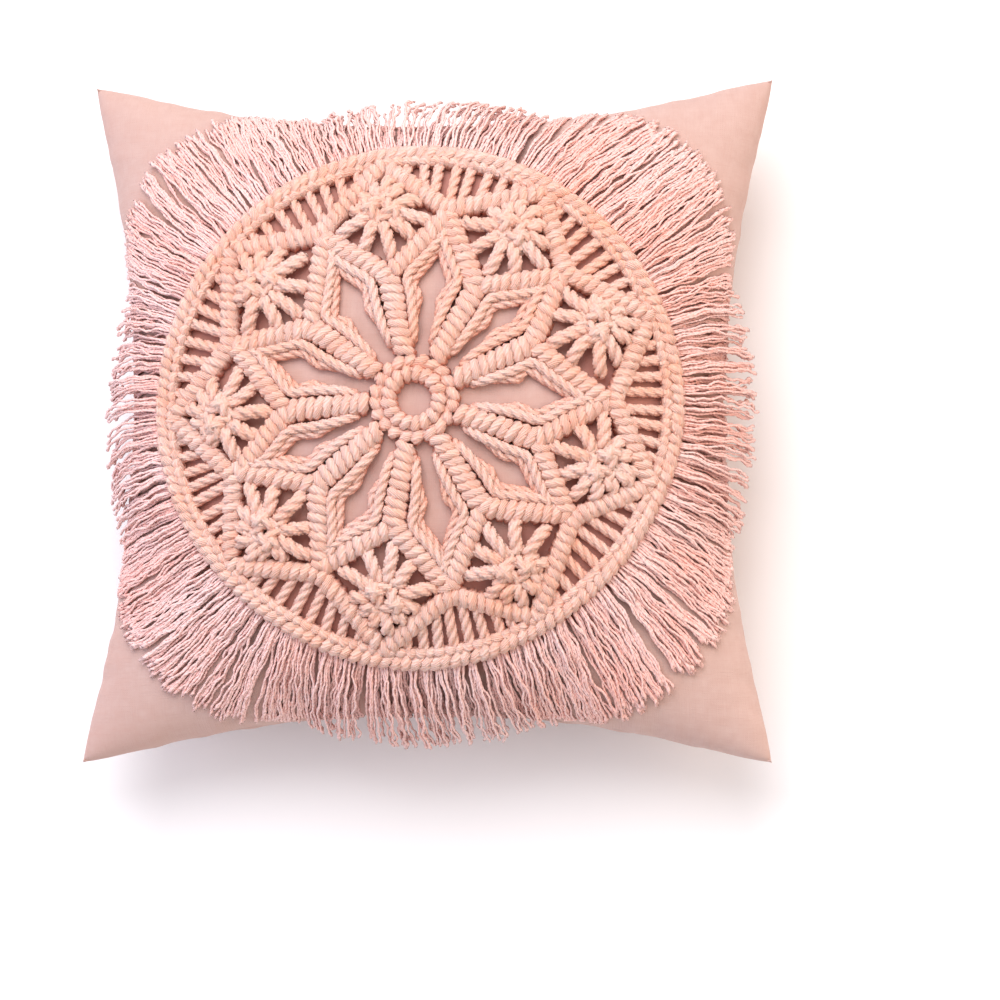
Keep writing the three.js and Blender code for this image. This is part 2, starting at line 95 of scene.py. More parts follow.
class CoverSettings(bpy.types.PropertyGroup):
    half_side: bpy.props.FloatProperty(
        name="Half side", description="Middle of the filled cover to a seam corner along X",
        default=0.22, unit="LENGTH")
    edge_pull: bpy.props.FloatProperty(
        name="Edge pull", description="How far the middle of a side is pulled in",
        default=0.035, unit="LENGTH")
    seam_height: bpy.props.FloatProperty(
        name="Seam height", description="Side seam above the floor", default=0.062, unit="LENGTH")
    crown_rise: bpy.props.FloatProperty(
        name="Crown rise", description="Middle of the front above the seam", default=0.08, unit="LENGTH")
    belly_drop: bpy.props.FloatProperty(
        name="Belly drop", description="Middle of the back below the seam before the floor flattens it",
        default=0.075, unit="LENGTH")
    panel_side: bpy.props.FloatProperty(
        name="Panel side", description="Side of the flat cloth panels, seam to seam",
        default=0.45, unit="LENGTH")
    cloth: bpy.props.FloatProperty(
        name="Cloth", description="Thickness of one layer of cloth", default=0.0008, unit="LENGTH")
    hem: bpy.props.FloatProperty(
        name="Hem", description="Folded hem of the lower back panel", default=0.026, unit="LENGTH")
    tuck: bpy.props.FloatProperty(
        name="Tuck", description="How far the upper back panel runs on under the lower one",
        default=0.09, unit="LENGTH")
    colour: bpy.props.FloatVectorProperty(
        name="Cloth colour", description="Dyed cotton cloth", subtype="COLOR", size=3,
        default=(0.60, 0.40, 0.345), min=0, max=1)


class KnotSettings(bpy.types.PropertyGroup):
    wrap_radius: bpy.props.FloatProperty(
        name="Wrap radius", description="Half thickness of the cord in the hitches",
        default=0.0035, unit="LENGTH")
    cord_radius: bpy.props.FloatProperty(
        name="Cord radius", description="Half thickness of the loose three-ply cords",
        default=0.0036, unit="LENGTH")
    wrap_pitch: bpy.props.FloatProperty(
        name="Wrap pitch", description="From one hitch to the next along a bar",
        default=0.0055, unit="LENGTH")
    twist_pitch: bpy.props.FloatProperty(
        name="Twist pitch", description="Length in which the cord's plies go round once",
        default=0.022, unit="LENGTH")
    pale: bpy.props.FloatVectorProperty(
        name="Pale cord", description="Cord where it is bleached", subtype="COLOR", size=3,
        default=(0.88, 0.64, 0.565), min=0, max=1)
    peach: bpy.props.FloatVectorProperty(
        name="Peach cord", description="Cord where the dye is strong", subtype="COLOR", size=3,
        default=(0.89, 0.47, 0.32), min=0, max=1)


class FringeSettings(bpy.types.PropertyGroup):
    length: bpy.props.FloatProperty(
        name="Length", description="Length of the yarns from the outer ring", default=0.08, unit="LENGTH")
    cords: bpy.props.IntProperty(
        name="Cords", description="Cord ends that are combed out into yarns", default=94, min=9)
    yarns: bpy.props.IntProperty(
        name="Yarns", description="Yarns in each cord end", default=18, min=3)
    yarn_radius: bpy.props.FloatProperty(
        name="Yarn radius", description="Half thickness of one yarn", default=0.00096, unit="LENGTH")
    colour: bpy.props.FloatVectorProperty(
        name="Yarn colour", description="Combed cotton yarn", subtype="COLOR", size=3,
        default=(1.0, 0.645, 0.58), min=0, max=1)


class StageSettings(bpy.types.PropertyGroup):
    azimuth: bpy.props.FloatProperty(
        name="Azimuth", description="Camera's turn around the cushion", default=math.radians(33.85),
        subtype="ANGLE")
    elevation: bpy.props.FloatProperty(
        name="Elevation", description="Camera's angle above the floor", default=math.radians(80.3),
        subtype="ANGLE")
    distance: bpy.props.FloatProperty(
        name="Distance", description="Camera to the middle of its view", default=3.0, unit="LENGTH")
    lens: bpy.props.FloatProperty(
        name="Lens", description="Focal length in millimetres", default=173.5)


# ---------------------------------------------------------------- the pillow's shape


def run_along(points):
    """Length of a line from its first point to each of its points."""
    return np.concatenate([[0], np.cumsum(np.linalg.norm(np.diff(points, axis=0), axis=-1))])


def lattice_line(count):
    """Lattice lines from -1 to 1, a little closer together towards the seams."""
    t = np.linspace(-1, 1, count + 1)
    return 0.62 * t + 0.38 * np.sin(np.pi * t / 2)


def plan_of(u, v, s):
    """Plan of the cover's lattice, with its sides pulled in and its corners turned round."""
    pull = s.edge_pull / s.half_side
    turned = 1 - CORNER_TURN * (abs(u) * abs(v)) ** CORNER_REACH
    x = s.half_side * u * (1 - pull * (1 - v * v) * u * u) * turned
    y = s.half_side * v * (1 - pull * (1 - u * u) * v * v) * turned
    return x, y


def fullness(u, v):
    """Height of the filled cover as a share of its middle's."""
    return np.sqrt(np.maximum(0, 1 - u * u) * np.maximum(0, 1 - v * v))


def cover_coords(x, y, s):
    """Where a point of the plan lies on the cover, from -1 to 1 each way; 1 is on the seam or past it."""
    pull = s.edge_pull / s.half_side
    u, v = x / s.half_side, y / s.half_side
    for _ in range(24):
        next_u = x / (s.half_side * (1 - pull * (1 - v * v) * u * u))
        next_v = y / (s.half_side * (1 - pull * (1 - u * u) * v * v))
        u, v = np.clip(next_u, -1, 1), np.clip(next_v, -1, 1)
    return u, v


def dome_height(x, y):
    """Height of the plain dome of the front over points of the plan."""
    s = bpy.context.scene.cushion_cover
    u, v = cover_coords(np.asarray(x, float), np.asarray(y, float), s)
    return s.seam_height + s.crown_rise * fullness(u, v)


def start_cells(s):
    """Front and back of the filled cover before the cloth settles, as square arrays of points."""
    line = lattice_line(LATTICE_CELLS)
    u, v = np.meshgrid(line, line, indexing="ij")
    x, y = plan_of(u, v, s)
    full = fullness(u, v)
    front = np.stack([x, y, s.seam_height + s.crown_rise * full], -1)
    back = np.stack([x, y, np.maximum(0, s.seam_height - s.belly_drop * full)], -1)
    return front, back


def flat_cells(cells, side):
    """The flat panel that the cells were cut from, whose rows and columns are as long as theirs, scaled."""
    flat = np.zeros(cells.shape[:2] + (2,))
    for axis in (0, 1):
        steps = np.linalg.norm(np.diff(cells, axis=axis), axis=-1)
        run = np.cumsum(steps, axis=axis)
        pad = np.zeros_like(np.take(run, [0], axis=axis))
        run = np.concatenate([pad, run], axis=axis)
        whole = np.take(run, [-1], axis=axis)
        flat[..., axis] = (run / whole - 0.5) * side
    return flat


def grid_mesh(bm, cells, flat, flip):
    """Adds a grid whose points are the cells, with the flat panel as its UV map, and returns its vertices
    with their row and column."""
    rows, cols = cells.shape[0] - 1, cells.shape[1] - 1
    made = bmesh.ops.create_grid(bm, x_segments=rows, y_segments=cols, size=1.0)["verts"]
    uv = bm.loops.layers.uv.verify()
    place = {}
    for vert in made:
        i = round((vert.co.x + 1) / 2 * rows)
        j = round((vert.co.y + 1) / 2 * cols)
        place[vert] = (i, j)
        vert.co = Vector(cells[i, j])
    faces = list({face for vert in made for face in vert.link_faces})
    for face in faces:
        face.smooth = True
        for loop in face.loops:
            i, j = place[loop.vert]
            loop[uv].uv = flat[i, j]
    if flip:
        bmesh.ops.reverse_faces(bm, faces=faces)
    return place


def linked(name, data):
    obj = bpy.data.objects.new(name, data)
    bpy.context.scene.collection.objects.link(obj)
    return obj


def finished_mesh(name, bm):
    """A new mesh from a bmesh, which is freed."""
    mesh = bpy.data.meshes.new(name)
    bm.to_mesh(mesh)
    bm.free()
    return mesh


def vertex_places(mesh):
    co = np.zeros(len(mesh.vertices) * 3)
    mesh.vertices.foreach_get("co", co)
    return co.reshape(-1, 3)


def point_values(mesh, name, values):
    """Stores one number for each vertex, for the materials to read."""
    mesh.attributes.new(name, "FLOAT", "POINT").data.foreach_set("value", values.astype(np.float32))


def settle_cover(s):
    """Inflates the cover with Cloth and pressure, and returns its front and back cells."""
    front, back = start_cells(s)
    bm = bmesh.new()
    uv_front = flat_cells(front, s.panel_side)
    uv_back = flat_cells(back, s.panel_side)
    side_layer, row_layer, col_layer = (bm.verts.layers.int.new(key) for key in ("side", "row", "col"))
    last = LATTICE_CELLS
    for side, (cells, flat) in enumerate(((front, uv_front), (back, uv_back))):
        for vert, (i, j) in grid_mesh(bm, cells, flat, side == 1).items():
            vert[side_layer], vert[row_layer], vert[col_layer] = side, i, j
    bm.verts.ensure_lookup_table()
    edge = [v for v in bm.verts if v[row_layer] in (0, last) or v[col_layer] in (0, last)]
    bmesh.ops.remove_doubles(bm, verts=edge, dist=1e-5)
    bm.verts.ensure_lookup_table()
    index = np.array([(v[side_layer], v[row_layer], v[col_layer]) for v in bm.verts])
    mesh = finished_mesh("settling_cover", bm)
    obj = linked("settling_cover", mesh)
    obj.shape_key_add(name="filled", from_mix=False)
    cut = obj.shape_key_add(name="cut", from_mix=False)
    for n, (side, i, j) in enumerate(index):
        flat = (uv_front, uv_back)[side][i, j]
        cut.data[n].co = (flat[0], flat[1], s.seam_height)
    # the knotted panel holds the middle of the front, the floor holds the middle of the back
    held = obj.vertex_groups.new(name="held")
    start = np.array([v.co for v in mesh.vertices])
    for n, (side, i, j) in enumerate(index):
        reach = math.hypot(start[n, 0], start[n, 1])
        if side == 0:
            weight = min(1.0, max(0.0, (HELD_REACH - reach) / HELD_FADE))
        else:
            weight = 1.0 if start[n, 2] < 1e-5 else 0.0
        if i in (0, last) and j in (0, last):
            weight = 1.0
        if weight > 0:
            held.add([n], weight, "REPLACE")
    cloth = obj.modifiers.new("Settle", "CLOTH")
    cs = cloth.settings
    cs.quality = 6
    cs.mass = 0.25
    cs.air_damping = 4.0
    cs.tension_stiffness = 25
    cs.compression_stiffness = 18
    cs.shear_stiffness = 6
    cs.bending_stiffness = 0.35
    cs.use_pressure = True
    cs.uniform_pressure_force = 4.0
    cs.effector_weights.gravity = 0
    cs.vertex_group_mass = "held"
    cs.rest_shape_key = cut
    scene = bpy.context.scene
    cloth.point_cache.frame_start = 1
    cloth.point_cache.frame_end = SETTLE_FRAMES
    for number in range(1, SETTLE_FRAMES + 1):
        scene.frame_set(number)
    co = vertex_places(obj.evaluated_get(bpy.context.evaluated_depsgraph_get()).to_mesh())
    scene.frame_set(1)
    bpy.data.objects.remove(obj)
    bpy.data.meshes.remove(mesh)
    move = co - start
    length = np.maximum(np.linalg.norm(move, axis=1, keepdims=True), 1e-9)
    co = start + move * SETTLE_CAP * np.tanh(length / SETTLE_CAP) / length
    co[:, 2] = np.maximum(co[:, 2], 0)
    for n, (side, i, j) in enumerate(index):
        (front, back)[side][i, j] = co[n]
    for line in (0, last):
        back[line, :], back[:, line] = front[line, :], front[:, line]
    return front, back


def along_axis(cells, places, axis):
    """Smooth in-between rows of an array of points, at places counted in cells."""
    cells = np.moveaxis(cells, axis, 0)
    last = len(cells) - 1
    places = np.asarray(places, float)
    base = np.clip(np.floor(places).astype(int), 0, last - 1)
    part = (places - base).reshape((-1,) + (1,) * (cells.ndim - 1))
    one, two = cells[base], cells[base + 1]
    before = np.where((base == 0).reshape(part.shape), 2 * one - two, cells[np.maximum(base - 1, 0)])
    after = np.where((base == last - 1).reshape(part.shape), 2 * two - one,
                     cells[np.minimum(base + 2, last)])
    mixed = 0.5 * (2 * one + (two - before) * part + (2 * before - 5 * one + 4 * two - after) * part**2
                   + (3 * one - before - 3 * two + after) * part**3)
    return np.moveaxis(mixed, 0, axis)


def resampled(cells, rows, cols):
    """An array of points with in-between rows and columns."""
    return along_axis(along_axis(cells, rows, 0), cols, 1)


def cell_normals(cells, sign):
    """Outward normals of an array of points."""
    du = np.gradient(cells, axis=0)
    dv = np.gradient(cells, axis=1)
    normal = np.cross(du, dv) * sign
    return normal / np.maximum(np.linalg.norm(normal, axis=-1, keepdims=True), 1e-12)


def seam_lines():
    """Lattice places with an extra line close to each seam."""
    inner = list(range(1, LATTICE_CELLS))
    return np.array([0, 0.28] + inner + [LATTICE_CELLS - 0.28, LATTICE_CELLS], float)


def puckered(cells, sign, seed):
    """Small gathers that run in from the seams, and a shallow groove where the panels are sewn."""
    normal = cell_normals(cells, sign)
    rng = np.random.default_rng(seed)
    lift = np.zeros(cells.shape[:2])
    for axis in (0, 1):
        for end in (0, -1):
            rim = np.take(cells, end, axis=axis)
            run = run_along(rim)
            wave = np.zeros(len(run))
            for _ in range(5):
                wave += np.cos(2 * np.pi * run / rng.uniform(0.013, 0.05) + rng.uniform(0, 6.3))
            fade = np.clip(np.minimum(run, run[-1] - run) / 0.05, 0, 1)
            wave = wave / 5 * fade
            off = np.linalg.norm(cells - np.expand_dims(rim, axis), axis=-1)
            near = np.exp(-((off / 0.022) ** 2)) * (1 - np.exp(-off / 0.003))
            lift += 0.0022 * near * np.expand_dims(wave, axis)
            lift -= 0.0011 * np.exp(-((off / 0.0012) ** 2))
    return cells + normal * lift[..., None]


# ---------------------------------------------------------------- cords


# sections of a cord with three plies, lying loose and pulled tight
LOBED = [(math.radians(120 * ply + turn), size)
         for ply in range(3) for turn, size in ((-38, 0.92), (0, 1.0), (38, 0.92), (60, 0.50))]
BEADED = [(math.radians(120 * ply + turn), size)
          for ply in range(3) for turn, size in ((-34, 0.99), (34, 0.99), (60, 0.86))]


def regular_section(sides):
    """An even section: the turn and the size of each of its corners."""
    return [(math.radians(360 / sides * n), 1.0) for n in range(sides)]


ROUND = regular_section(8)
SQUARE = regular_section(4)


class Cord:
    """One cord: its middle line, a radius and a twist at each point, a tone, and how deep it lies."""

    def __init__(self, points, radius, turns=0.0, start=0.0, tone=0.5, ends=1.0, closed=False):
        self.points = points
        count = len(points)
        self.radii = np.ones(count) * radius
        if not closed and ends < 1:
            self.radii[0] *= ends
            self.radii[-1] *= ends
        self.run = [0.0]
        for a, b in zip(points, points[1:]):
            self.run.append(self.run[-1] + math.dist(a, b))
        whole = max(self.run[-1], 1e-9)
        self.tilts = [start + turns * 2 * math.pi * step / whole for step in self.run]
        self.tone = tone
        self.closed = closed


def profile_curve(section):
    """The outline that is swept along a cord."""
    curve = bpy.data.curves.new("cord_section", "CURVE")
    curve.dimensions = "2D"
    spline = curve.splines.new("POLY")
    spline.points.add(len(section) - 1)
    for point, (angle, size) in zip(spline.points, section):
        point.co = (math.cos(angle) * size, math.sin(angle) * size, 0, 1)
    spline.use_cyclic_u = True
    return linked("cord_section", curve)


def cord_mesh(name, cords, section, ground=dome_height):
    """Sweeps a section along the cords and returns one mesh. Its UV map runs round and along each cord, and
    its attributes say each cord's tone, and how far down in the work a point lies for the painted shade."""
    curve = bpy.data.curves.new(name, "CURVE")
    curve.dimensions = "3D"
    curve.twist_mode = "MINIMUM"
    curve.bevel_mode = "OBJECT"
    curve.bevel_object = profile_curve(section)
    curve.use_fill_caps = True
    for cord in cords:
        spline = curve.splines.new("POLY")
        spline.points.add(len(cord.points) - 1)
        flat = np.ones((len(cord.points), 4), np.float32)
        flat[:, :3] = np.array(cord.points, np.float32)
        spline.points.foreach_set("co", flat.ravel())
        spline.points.foreach_set("radius", np.array(cord.radii, np.float32))
        spline.points.foreach_set("tilt", np.array(cord.tilts, np.float32))
        spline.use_cyclic_u = cord.closed
    source = linked(name + "_line", curve)
    bpy.context.view_layer.update()
    graph = bpy.context.evaluated_depsgraph_get()
    mesh = bpy.data.meshes.new_from_object(source.evaluated_get(graph))
    outline = curve.bevel_object
    bpy.data.objects.remove(source)
    bpy.data.curves.remove(curve)
    bpy.data.objects.remove(outline)
    # the mesh holds both end caps of every open cord, and after them the rings of every cord
    around = len(section)
    spans = [len(cord.points) for cord in cords]
    capped = [cord for cord in cords if not cord.closed]
    rings = 2 * len(capped) + sum(spans)
    if len(mesh.vertices) != rings * around:
        raise RuntimeError(f"{name}: {len(mesh.vertices)} points and not {rings * around}")
    tones = [cord.tone for cord in capped for _ in range(2)]
    tones += [cord.tone for cord, span in zip(cords, spans) for _ in range(span)]
    runs = [end for cord in capped for end in (0.0, cord.run[-1])]
    runs += [step for cord in cords for step in cord.run]
    run = np.repeat(runs, around)
    turn = np.tile(np.arange(around), rings)
    corner = np.zeros(len(mesh.loops), int)
    mesh.loops.foreach_get("vertex_index", corner)
    starts = np.zeros(len(mesh.polygons), int)
    totals = np.zeros(len(mesh.polygons), int)
    mesh.polygons.foreach_get("loop_start", starts)
    mesh.polygons.foreach_get("loop_total", totals)
    turned = turn[corner].astype(float)
    high = np.maximum.reduceat(turned, starts)
    low = np.minimum.reduceat(turned, starts)
    wraps = np.repeat((high - low == around - 1) & (totals == 4), totals)
    turned[wraps & (turned == 0)] = around
    layer = mesh.uv_layers.get("cord") or mesh.uv_layers.new(name="cord")
    layer.data.foreach_set("uv", np.stack([turned / around, run[corner] * 10], 1).astype(np.float32).ravel())
    for other in [each for each in mesh.uv_layers if each.name != "cord"]:
        mesh.uv_layers.remove(other)
    co = vertex_places(mesh)
    # painted shade: the deep mask is 1 where a point lies low over the cover, and the materials darken it
    # there
    height = co[:, 2] - ground(co[:, 0], co[:, 1])
    deep = np.clip(1 - (height - 0.001) / 0.006, 0, 1)
    point_values(mesh, "tone", np.repeat(tones, around))
    point_values(mesh, "deep", deep * deep * (3 - 2 * deep))
    bm = bmesh.new()
    bm.from_mesh(mesh)
    bmesh.ops.remove_doubles(bm, verts=bm.verts, dist=1e-6)
    bmesh.ops.recalc_face_normals(bm, faces=bm.faces)
    for face in bm.faces:
        face.smooth = True
    bm.to_mesh(mesh)
    bm.free()
    return mesh


def joined_mesh(name, meshes):
    """One mesh from several, with their UV maps and attributes."""
    bm = bmesh.new()
    for mesh in meshes:
        bm.from_mesh(mesh)
    whole = finished_mesh(name, bm)
    for mesh in meshes:
        bpy.data.meshes.remove(mesh)
    return whole


def add_piece(name, mesh, material, slot, *nodes):
    """Puts a piece in the scene under the root body, and hides the CAD nodes that it stands for."""
    mesh.name = name
    obj = linked(name, mesh)
    mesh.materials.clear()
    mesh.materials.append(material)
    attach(obj, "root")
    if nodes:
        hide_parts(*nodes)
    return obj


def add_cords(name, cords, section, finish, slot, *nodes):
    """Puts a piece made of cords in the scene."""
    return add_piece(name, cord_mesh(name, cords, section), finishes()[finish], slot, *nodes)


def add_bars(name, bars, *nodes):
    """Puts wrapped bars in the scene as one piece: their hitches and the carrying cords inside them."""
    hitches = [hitch for bar in bars for hitch in bar[0]]
    cores = [core for bar in bars for core in bar[1]]
    whole = joined_mesh(name, [cord_mesh(name, hitches, BEADED), cord_mesh(name, cores, ROUND)])
    return add_piece(name, whole, finishes()["hitches"], "knotted_cord", *nodes)


# ---------------------------------------------------------------- the star's points in plan


def polar(radius, degrees):
    angle = math.radians(degrees)
    return Vector((radius * math.cos(angle), radius * math.sin(angle)))


def left_of(way):
    return Vector((-way.y, way.x))


def turned_by(drift, k):
    """Turn of point k of an even star, and its own drift."""
    return drift[k % SECTORS] + 360 / SECTORS * k


def tip_angle(k):
    return FIRST_TIP + turned_by(TIP_DRIFT, k)


def side_angle(k):
    return FIRST_TIP - 180 / SECTORS + turned_by(SIDE_DRIFT, k)


def spoke_angle(k):
    return FIRST_TIP + SPOKE_LEAD + turned_by(SPOKE_DRIFT, k)


def smooth_line(points, step):
    """Points a step apart along a smooth line through the given points."""
    pts = [np.array(p, float) for p in points]
    pts = [2 * pts[0] - pts[1], *pts, 2 * pts[-1] - pts[-2]]
    dense = []
    for a, b, c, d in zip(pts, pts[1:], pts[2:], pts[3:]):
        for part in np.linspace(0, 1, 12, endpoint=False):
            dense.append(0.5 * (2 * b + (c - a) * part + (2 * a - 5 * b + 4 * c - d) * part**2
                                + (3 * b - a - 3 * c + d) * part**3))
    dense.append(pts[-2])
    dense = np.array(dense)
    run = run_along(dense)
    count = max(2, round(run[-1] / step) + 1)
    places = np.linspace(0, run[-1], count)
    return np.stack([np.interp(places, run, dense[:, n]) for n in range(dense.shape[1])], 1)


def on_cover(plan, lift):
    """Points over the cover's front from points of the plan, lifted along its normal."""
    plan = np.asarray(plan, float)
    eps = 0.001
    x, y = plan[:, 0], plan[:, 1]
    z = dome_height(x, y)
    slope_x = (dome_height(x + eps, y) - dome_height(x - eps, y)) / (2 * eps)
    slope_y = (dome_height(x, y + eps) - dome_height(x, y - eps)) / (2 * eps)
    normal = np.stack([-slope_x, -slope_y, np.ones_like(x)], 1)
    normal /= np.linalg.norm(normal, axis=1, keepdims=True)
    lift = np.broadcast_to(np.asarray(lift, float), x.shape)
    return np.stack([x, y, z], 1) + normal * lift[:, None]


# ---------------------------------------------------------------- hitches over bars


def hitch(middle, across, width, height, radius, slant, rng):
    """One turn of cord over a bar, from foot to foot."""
    along = Vector((across.y, -across.x))
    half = width / 2 - radius * 0.85
    slant *= rng.uniform(0.5, 1.5)
    top = height - radius
    plan, lift = [], []
    for degrees in (-30, 6, 44, 90, 136, 174, 210):
        angle = math.radians(degrees)
        side = math.copysign(abs(math.cos(angle)) ** 0.85, math.cos(angle))
        if degrees in FOOT_TURNS:
            side *= 0.82
        plan.append(middle + across * (side * half) + along * (slant * side))
        rise = max(0.0, math.sin(angle)) ** 0.75
        lift.append(HITCH_FOOT + (top - HITCH_FOOT) * rise if rise > 0 else 0.0008)
    turns = rng.uniform(0.30, 0.42)
    return Cord(on_cover(plan, lift), radius * rng.uniform(0.96, 1.05), turns=turns,
                start=rng.uniform(0, 6.3), tone=rng.random(), ends=0.75)


def wrapped_bar(points, widths, pitch, radius, rng, height=RIB_HEIGHT, slant=0.0016, lift=0.0):
    """Hitches side by side along a smooth line, and the carrying cords inside them."""
    line = smooth_line(points, 0.0008)
    run = run_along(line)

    def point_at(place):
        return Vector((np.interp(place, run, line[:, 0]), np.interp(place, run, line[:, 1])))

    count = max(2, round(run[-1] / pitch))
    hitches = []
    for n in range(count):
        place = (n + 0.5) / count * run[-1] + rng.uniform(-0.00025, 0.00025)
        along = (point_at(place + 0.002) - point_at(place - 0.002)).normalized()
        width = np.interp(place / run[-1], np.linspace(0, 1, len(widths)), widths)
        hitches.append(hitch(point_at(place), left_of(along), width * rng.uniform(0.97, 1.03),
                             height * rng.uniform(0.96, 1.04) + lift, radius, slant, rng))
    inside = smooth_line(points, 0.005)
    tangent = np.gradient(inside, axis=0)
    tangent /= np.linalg.norm(tangent, axis=1, keepdims=True)
    core = []
    for shift in (-0.3, 0.3):
        side = np.stack([-tangent[:, 1], tangent[:, 0]], 1) * shift * min(widths) / 2 * 1.1
        points = on_cover(inside + side, height * 0.42 + lift * 0.6)
        core.append(Cord(points, height * 0.30, tone=0.4, ends=0.6))
    return hitches, core


def loose_cord(plan, lifts, radius, rng, pitch, step=0.0019, ends=0.7):
    """A three-ply cord that lies along a smooth line of the plan."""
    line = smooth_line([(*point, lift) for point, lift in zip(plan, lifts)], step)
    points = on_cover(line[:, :2], line[:, 2])
    whole = sum(math.dist(a, b) for a, b in zip(points, points[1:]))
    return Cord(points, radius, turns=whole / pitch, start=rng.uniform(0, 6.3), tone=rng.random(), ends=ends)


# ---------------------------------------------------------------- material node helpers


def feed(tree, socket, value):
    """Links another socket to this one, or sets its number, vector or colour."""
    if isinstance(value, bpy.types.NodeSocket):
        tree.links.new(value, socket)
    elif socket.type == "RGBA" and len(value) == 3:
        socket.default_value = (*value, 1)
    else:
        socket.default_value = value


def node(tree, kind, inputs, **values):
    """A new node with these values, and these inputs by name or number."""
    made = tree.nodes.new(kind)
    for key, value in values.items():
        setattr(made, key, value)
    for key, value in inputs.items():
        feed(tree, made.inputs[key], value)
    return made


def maths(tree, operation, a, b):
    return node(tree, "ShaderNodeMath", {0: a, 1: b}, operation=operation).outputs[0]


def sine(tree, angle):
    return node(tree, "ShaderNodeMath", {0: angle}, operation="SINE").outputs[0]


def mixed(tree, factor, a, b):
    """Mixes two colours."""
    return node(tree, "ShaderNodeMix", {0: factor, 6: a, 7: b}, data_type="RGBA").outputs[2]


def noise(tree, vector, scale, detail=2.0, rough=0.5, distortion=0.0):
    return node(tree, "ShaderNodeTexNoise", {"Vector": vector, "Scale": scale, "Detail": detail,
                                             "Roughness": rough, "Distortion": distortion}).outputs["Fac"]


def new_group(name, inputs, outputs):
    """An empty node group, its input sockets and its output sockets."""
    group = bpy.data.node_groups.new(name, "ShaderNodeTree")
    for label, kind, default in inputs:
        socket = group.interface.new_socket(name=label, in_out="INPUT", socket_type=kind)
        if default is not None:
            socket.default_value = default
    for label, kind in outputs:
        group.interface.new_socket(name=label, in_out="OUTPUT", socket_type=kind)
    return group, group.nodes.new("NodeGroupInput").outputs, group.nodes.new("NodeGroupOutput").inputs


def put_out(group, leave, *values):
    """Links these sockets to the group's outputs, in their order."""
    for socket, value in zip(leave, values):
        group.links.new(value, socket)


def scaled_noise(tree, vector, scale, detail, rough=0.5):
    """Noise that is stretched by a scale for each axis."""
    stretched = node(tree, "ShaderNodeMapping", {"Vector": vector, "Scale": scale}).outputs[0]
    return noise(tree, stretched, 1.0, detail, rough)


def ranged(tree, value, low, high, to_low=0.0, to_high=1.0):
    return node(tree, "ShaderNodeMapRange", {"Value": value, "From Min": low, "From Max": high,
                                             "To Min": to_low, "To Max": to_high}).outputs[0]


def weave_group():
    """Plain weave with slubs, on the flat panel's own map in metres."""
    group, enter, leave = new_group(
        "plain_weave",
        [("Flat Map", "NodeSocketVector", None), ("Threads per Metre", "NodeSocketFloat", 1400.0)],
        [("Height", "NodeSocketFloat"), ("Slub", "NodeSocketFloat"), ("Fleck", "NodeSocketFloat")])
    split = node(group, "ShaderNodeSeparateXYZ", {0: enter["Flat Map"]})
    turn = maths(group, "MULTIPLY", enter["Threads per Metre"], math.pi)
    warp = sine(group, maths(group, "MULTIPLY", split.outputs["X"], turn))
    weft = sine(group, maths(group, "MULTIPLY", split.outputs["Y"], turn))
    cross = maths(group, "MULTIPLY", warp, weft)
    long_way = scaled_noise(group, enter["Flat Map"], (60, 1500, 1), detail=3)
    short_way = scaled_noise(group, enter["Flat Map"], (1500, 45, 1), detail=3)
    slub = maths(group, "ADD", ranged(group, long_way, 0.45, 0.8), ranged(group, short_way, 0.45, 0.8))
    height = maths(group, "ADD", maths(group, "MULTIPLY", cross, 0.35), slub)
    fleck = scaled_noise(group, enter["Flat Map"], (700, 700, 1), detail=4, rough=0.7)
    put_out(group, leave, height, slub, fleck)
    return group


def dye_group():
    """Uneven piece dye: a base colour that drifts between two others over the object."""
    group, enter, leave = new_group(
        "uneven_dye",
        [("Place", "NodeSocketVector", None), ("Base", "NodeSocketColor", (0.8, 0.5, 0.4, 1)),
         ("Pale", "NodeSocketColor", (0.9, 0.7, 0.65, 1)),
         ("Strong", "NodeSocketColor", (0.75, 0.35, 0.25, 1)), ("Drift Size", "NodeSocketFloat", 7.0)],
        [("Colour", "NodeSocketColor")])
    broad = noise(group, enter["Place"], enter["Drift Size"], 3.0)
    fine = noise(group, enter["Place"], 160.0, 4.0)
    both = maths(group, "ADD", maths(group, "MULTIPLY", broad, 0.7), maths(group, "MULTIPLY", fine, 0.3))
    light = mixed(group, ranged(group, both, 0.5, 0.68), enter["Base"], enter["Pale"])
    put_out(group, leave, mixed(group, ranged(group, both, 0.5, 0.32), light, enter["Strong"]))
    return group


def yarn_group():
    """Fine yarns laid round a cord, on its own map of turn and run."""
    group, enter, leave = new_group(
        "laid_yarns",
        [("Cord Map", "NodeSocketVector", None), ("Place", "NodeSocketVector", None),
         ("Yarns", "NodeSocketFloat", 15.0), ("Lay", "NodeSocketFloat", 22.0)],
        [("Height", "NodeSocketFloat"), ("Groove", "NodeSocketFloat"), ("Fuzz", "NodeSocketFloat")])
    split = node(group, "ShaderNodeSeparateXYZ", {0: enter["Cord Map"]})
    phase = maths(group, "ADD", maths(group, "MULTIPLY", split.outputs["X"], enter["Yarns"]),
                  maths(group, "MULTIPLY", split.outputs["Y"], enter["Lay"]))
    wander = noise(group, enter["Place"], 260.0)
    phase = maths(group, "ADD", phase, maths(group, "MULTIPLY", wander, 1.1))
    wave = sine(group, maths(group, "MULTIPLY", phase, 2 * math.pi))
    height = maths(group, "ADD", maths(group, "MULTIPLY", wave, 0.5), 0.5)
    # Groove: a mask for painted shade in the grooves between the yarns
    groove = maths(group, "POWER", maths(group, "SUBTRACT", 1.0, height), 3.0)
    fuzz = noise(group, enter["Place"], 2400.0, 3.0, 0.7)
    put_out(group, leave, height, groove, fuzz)
    return group


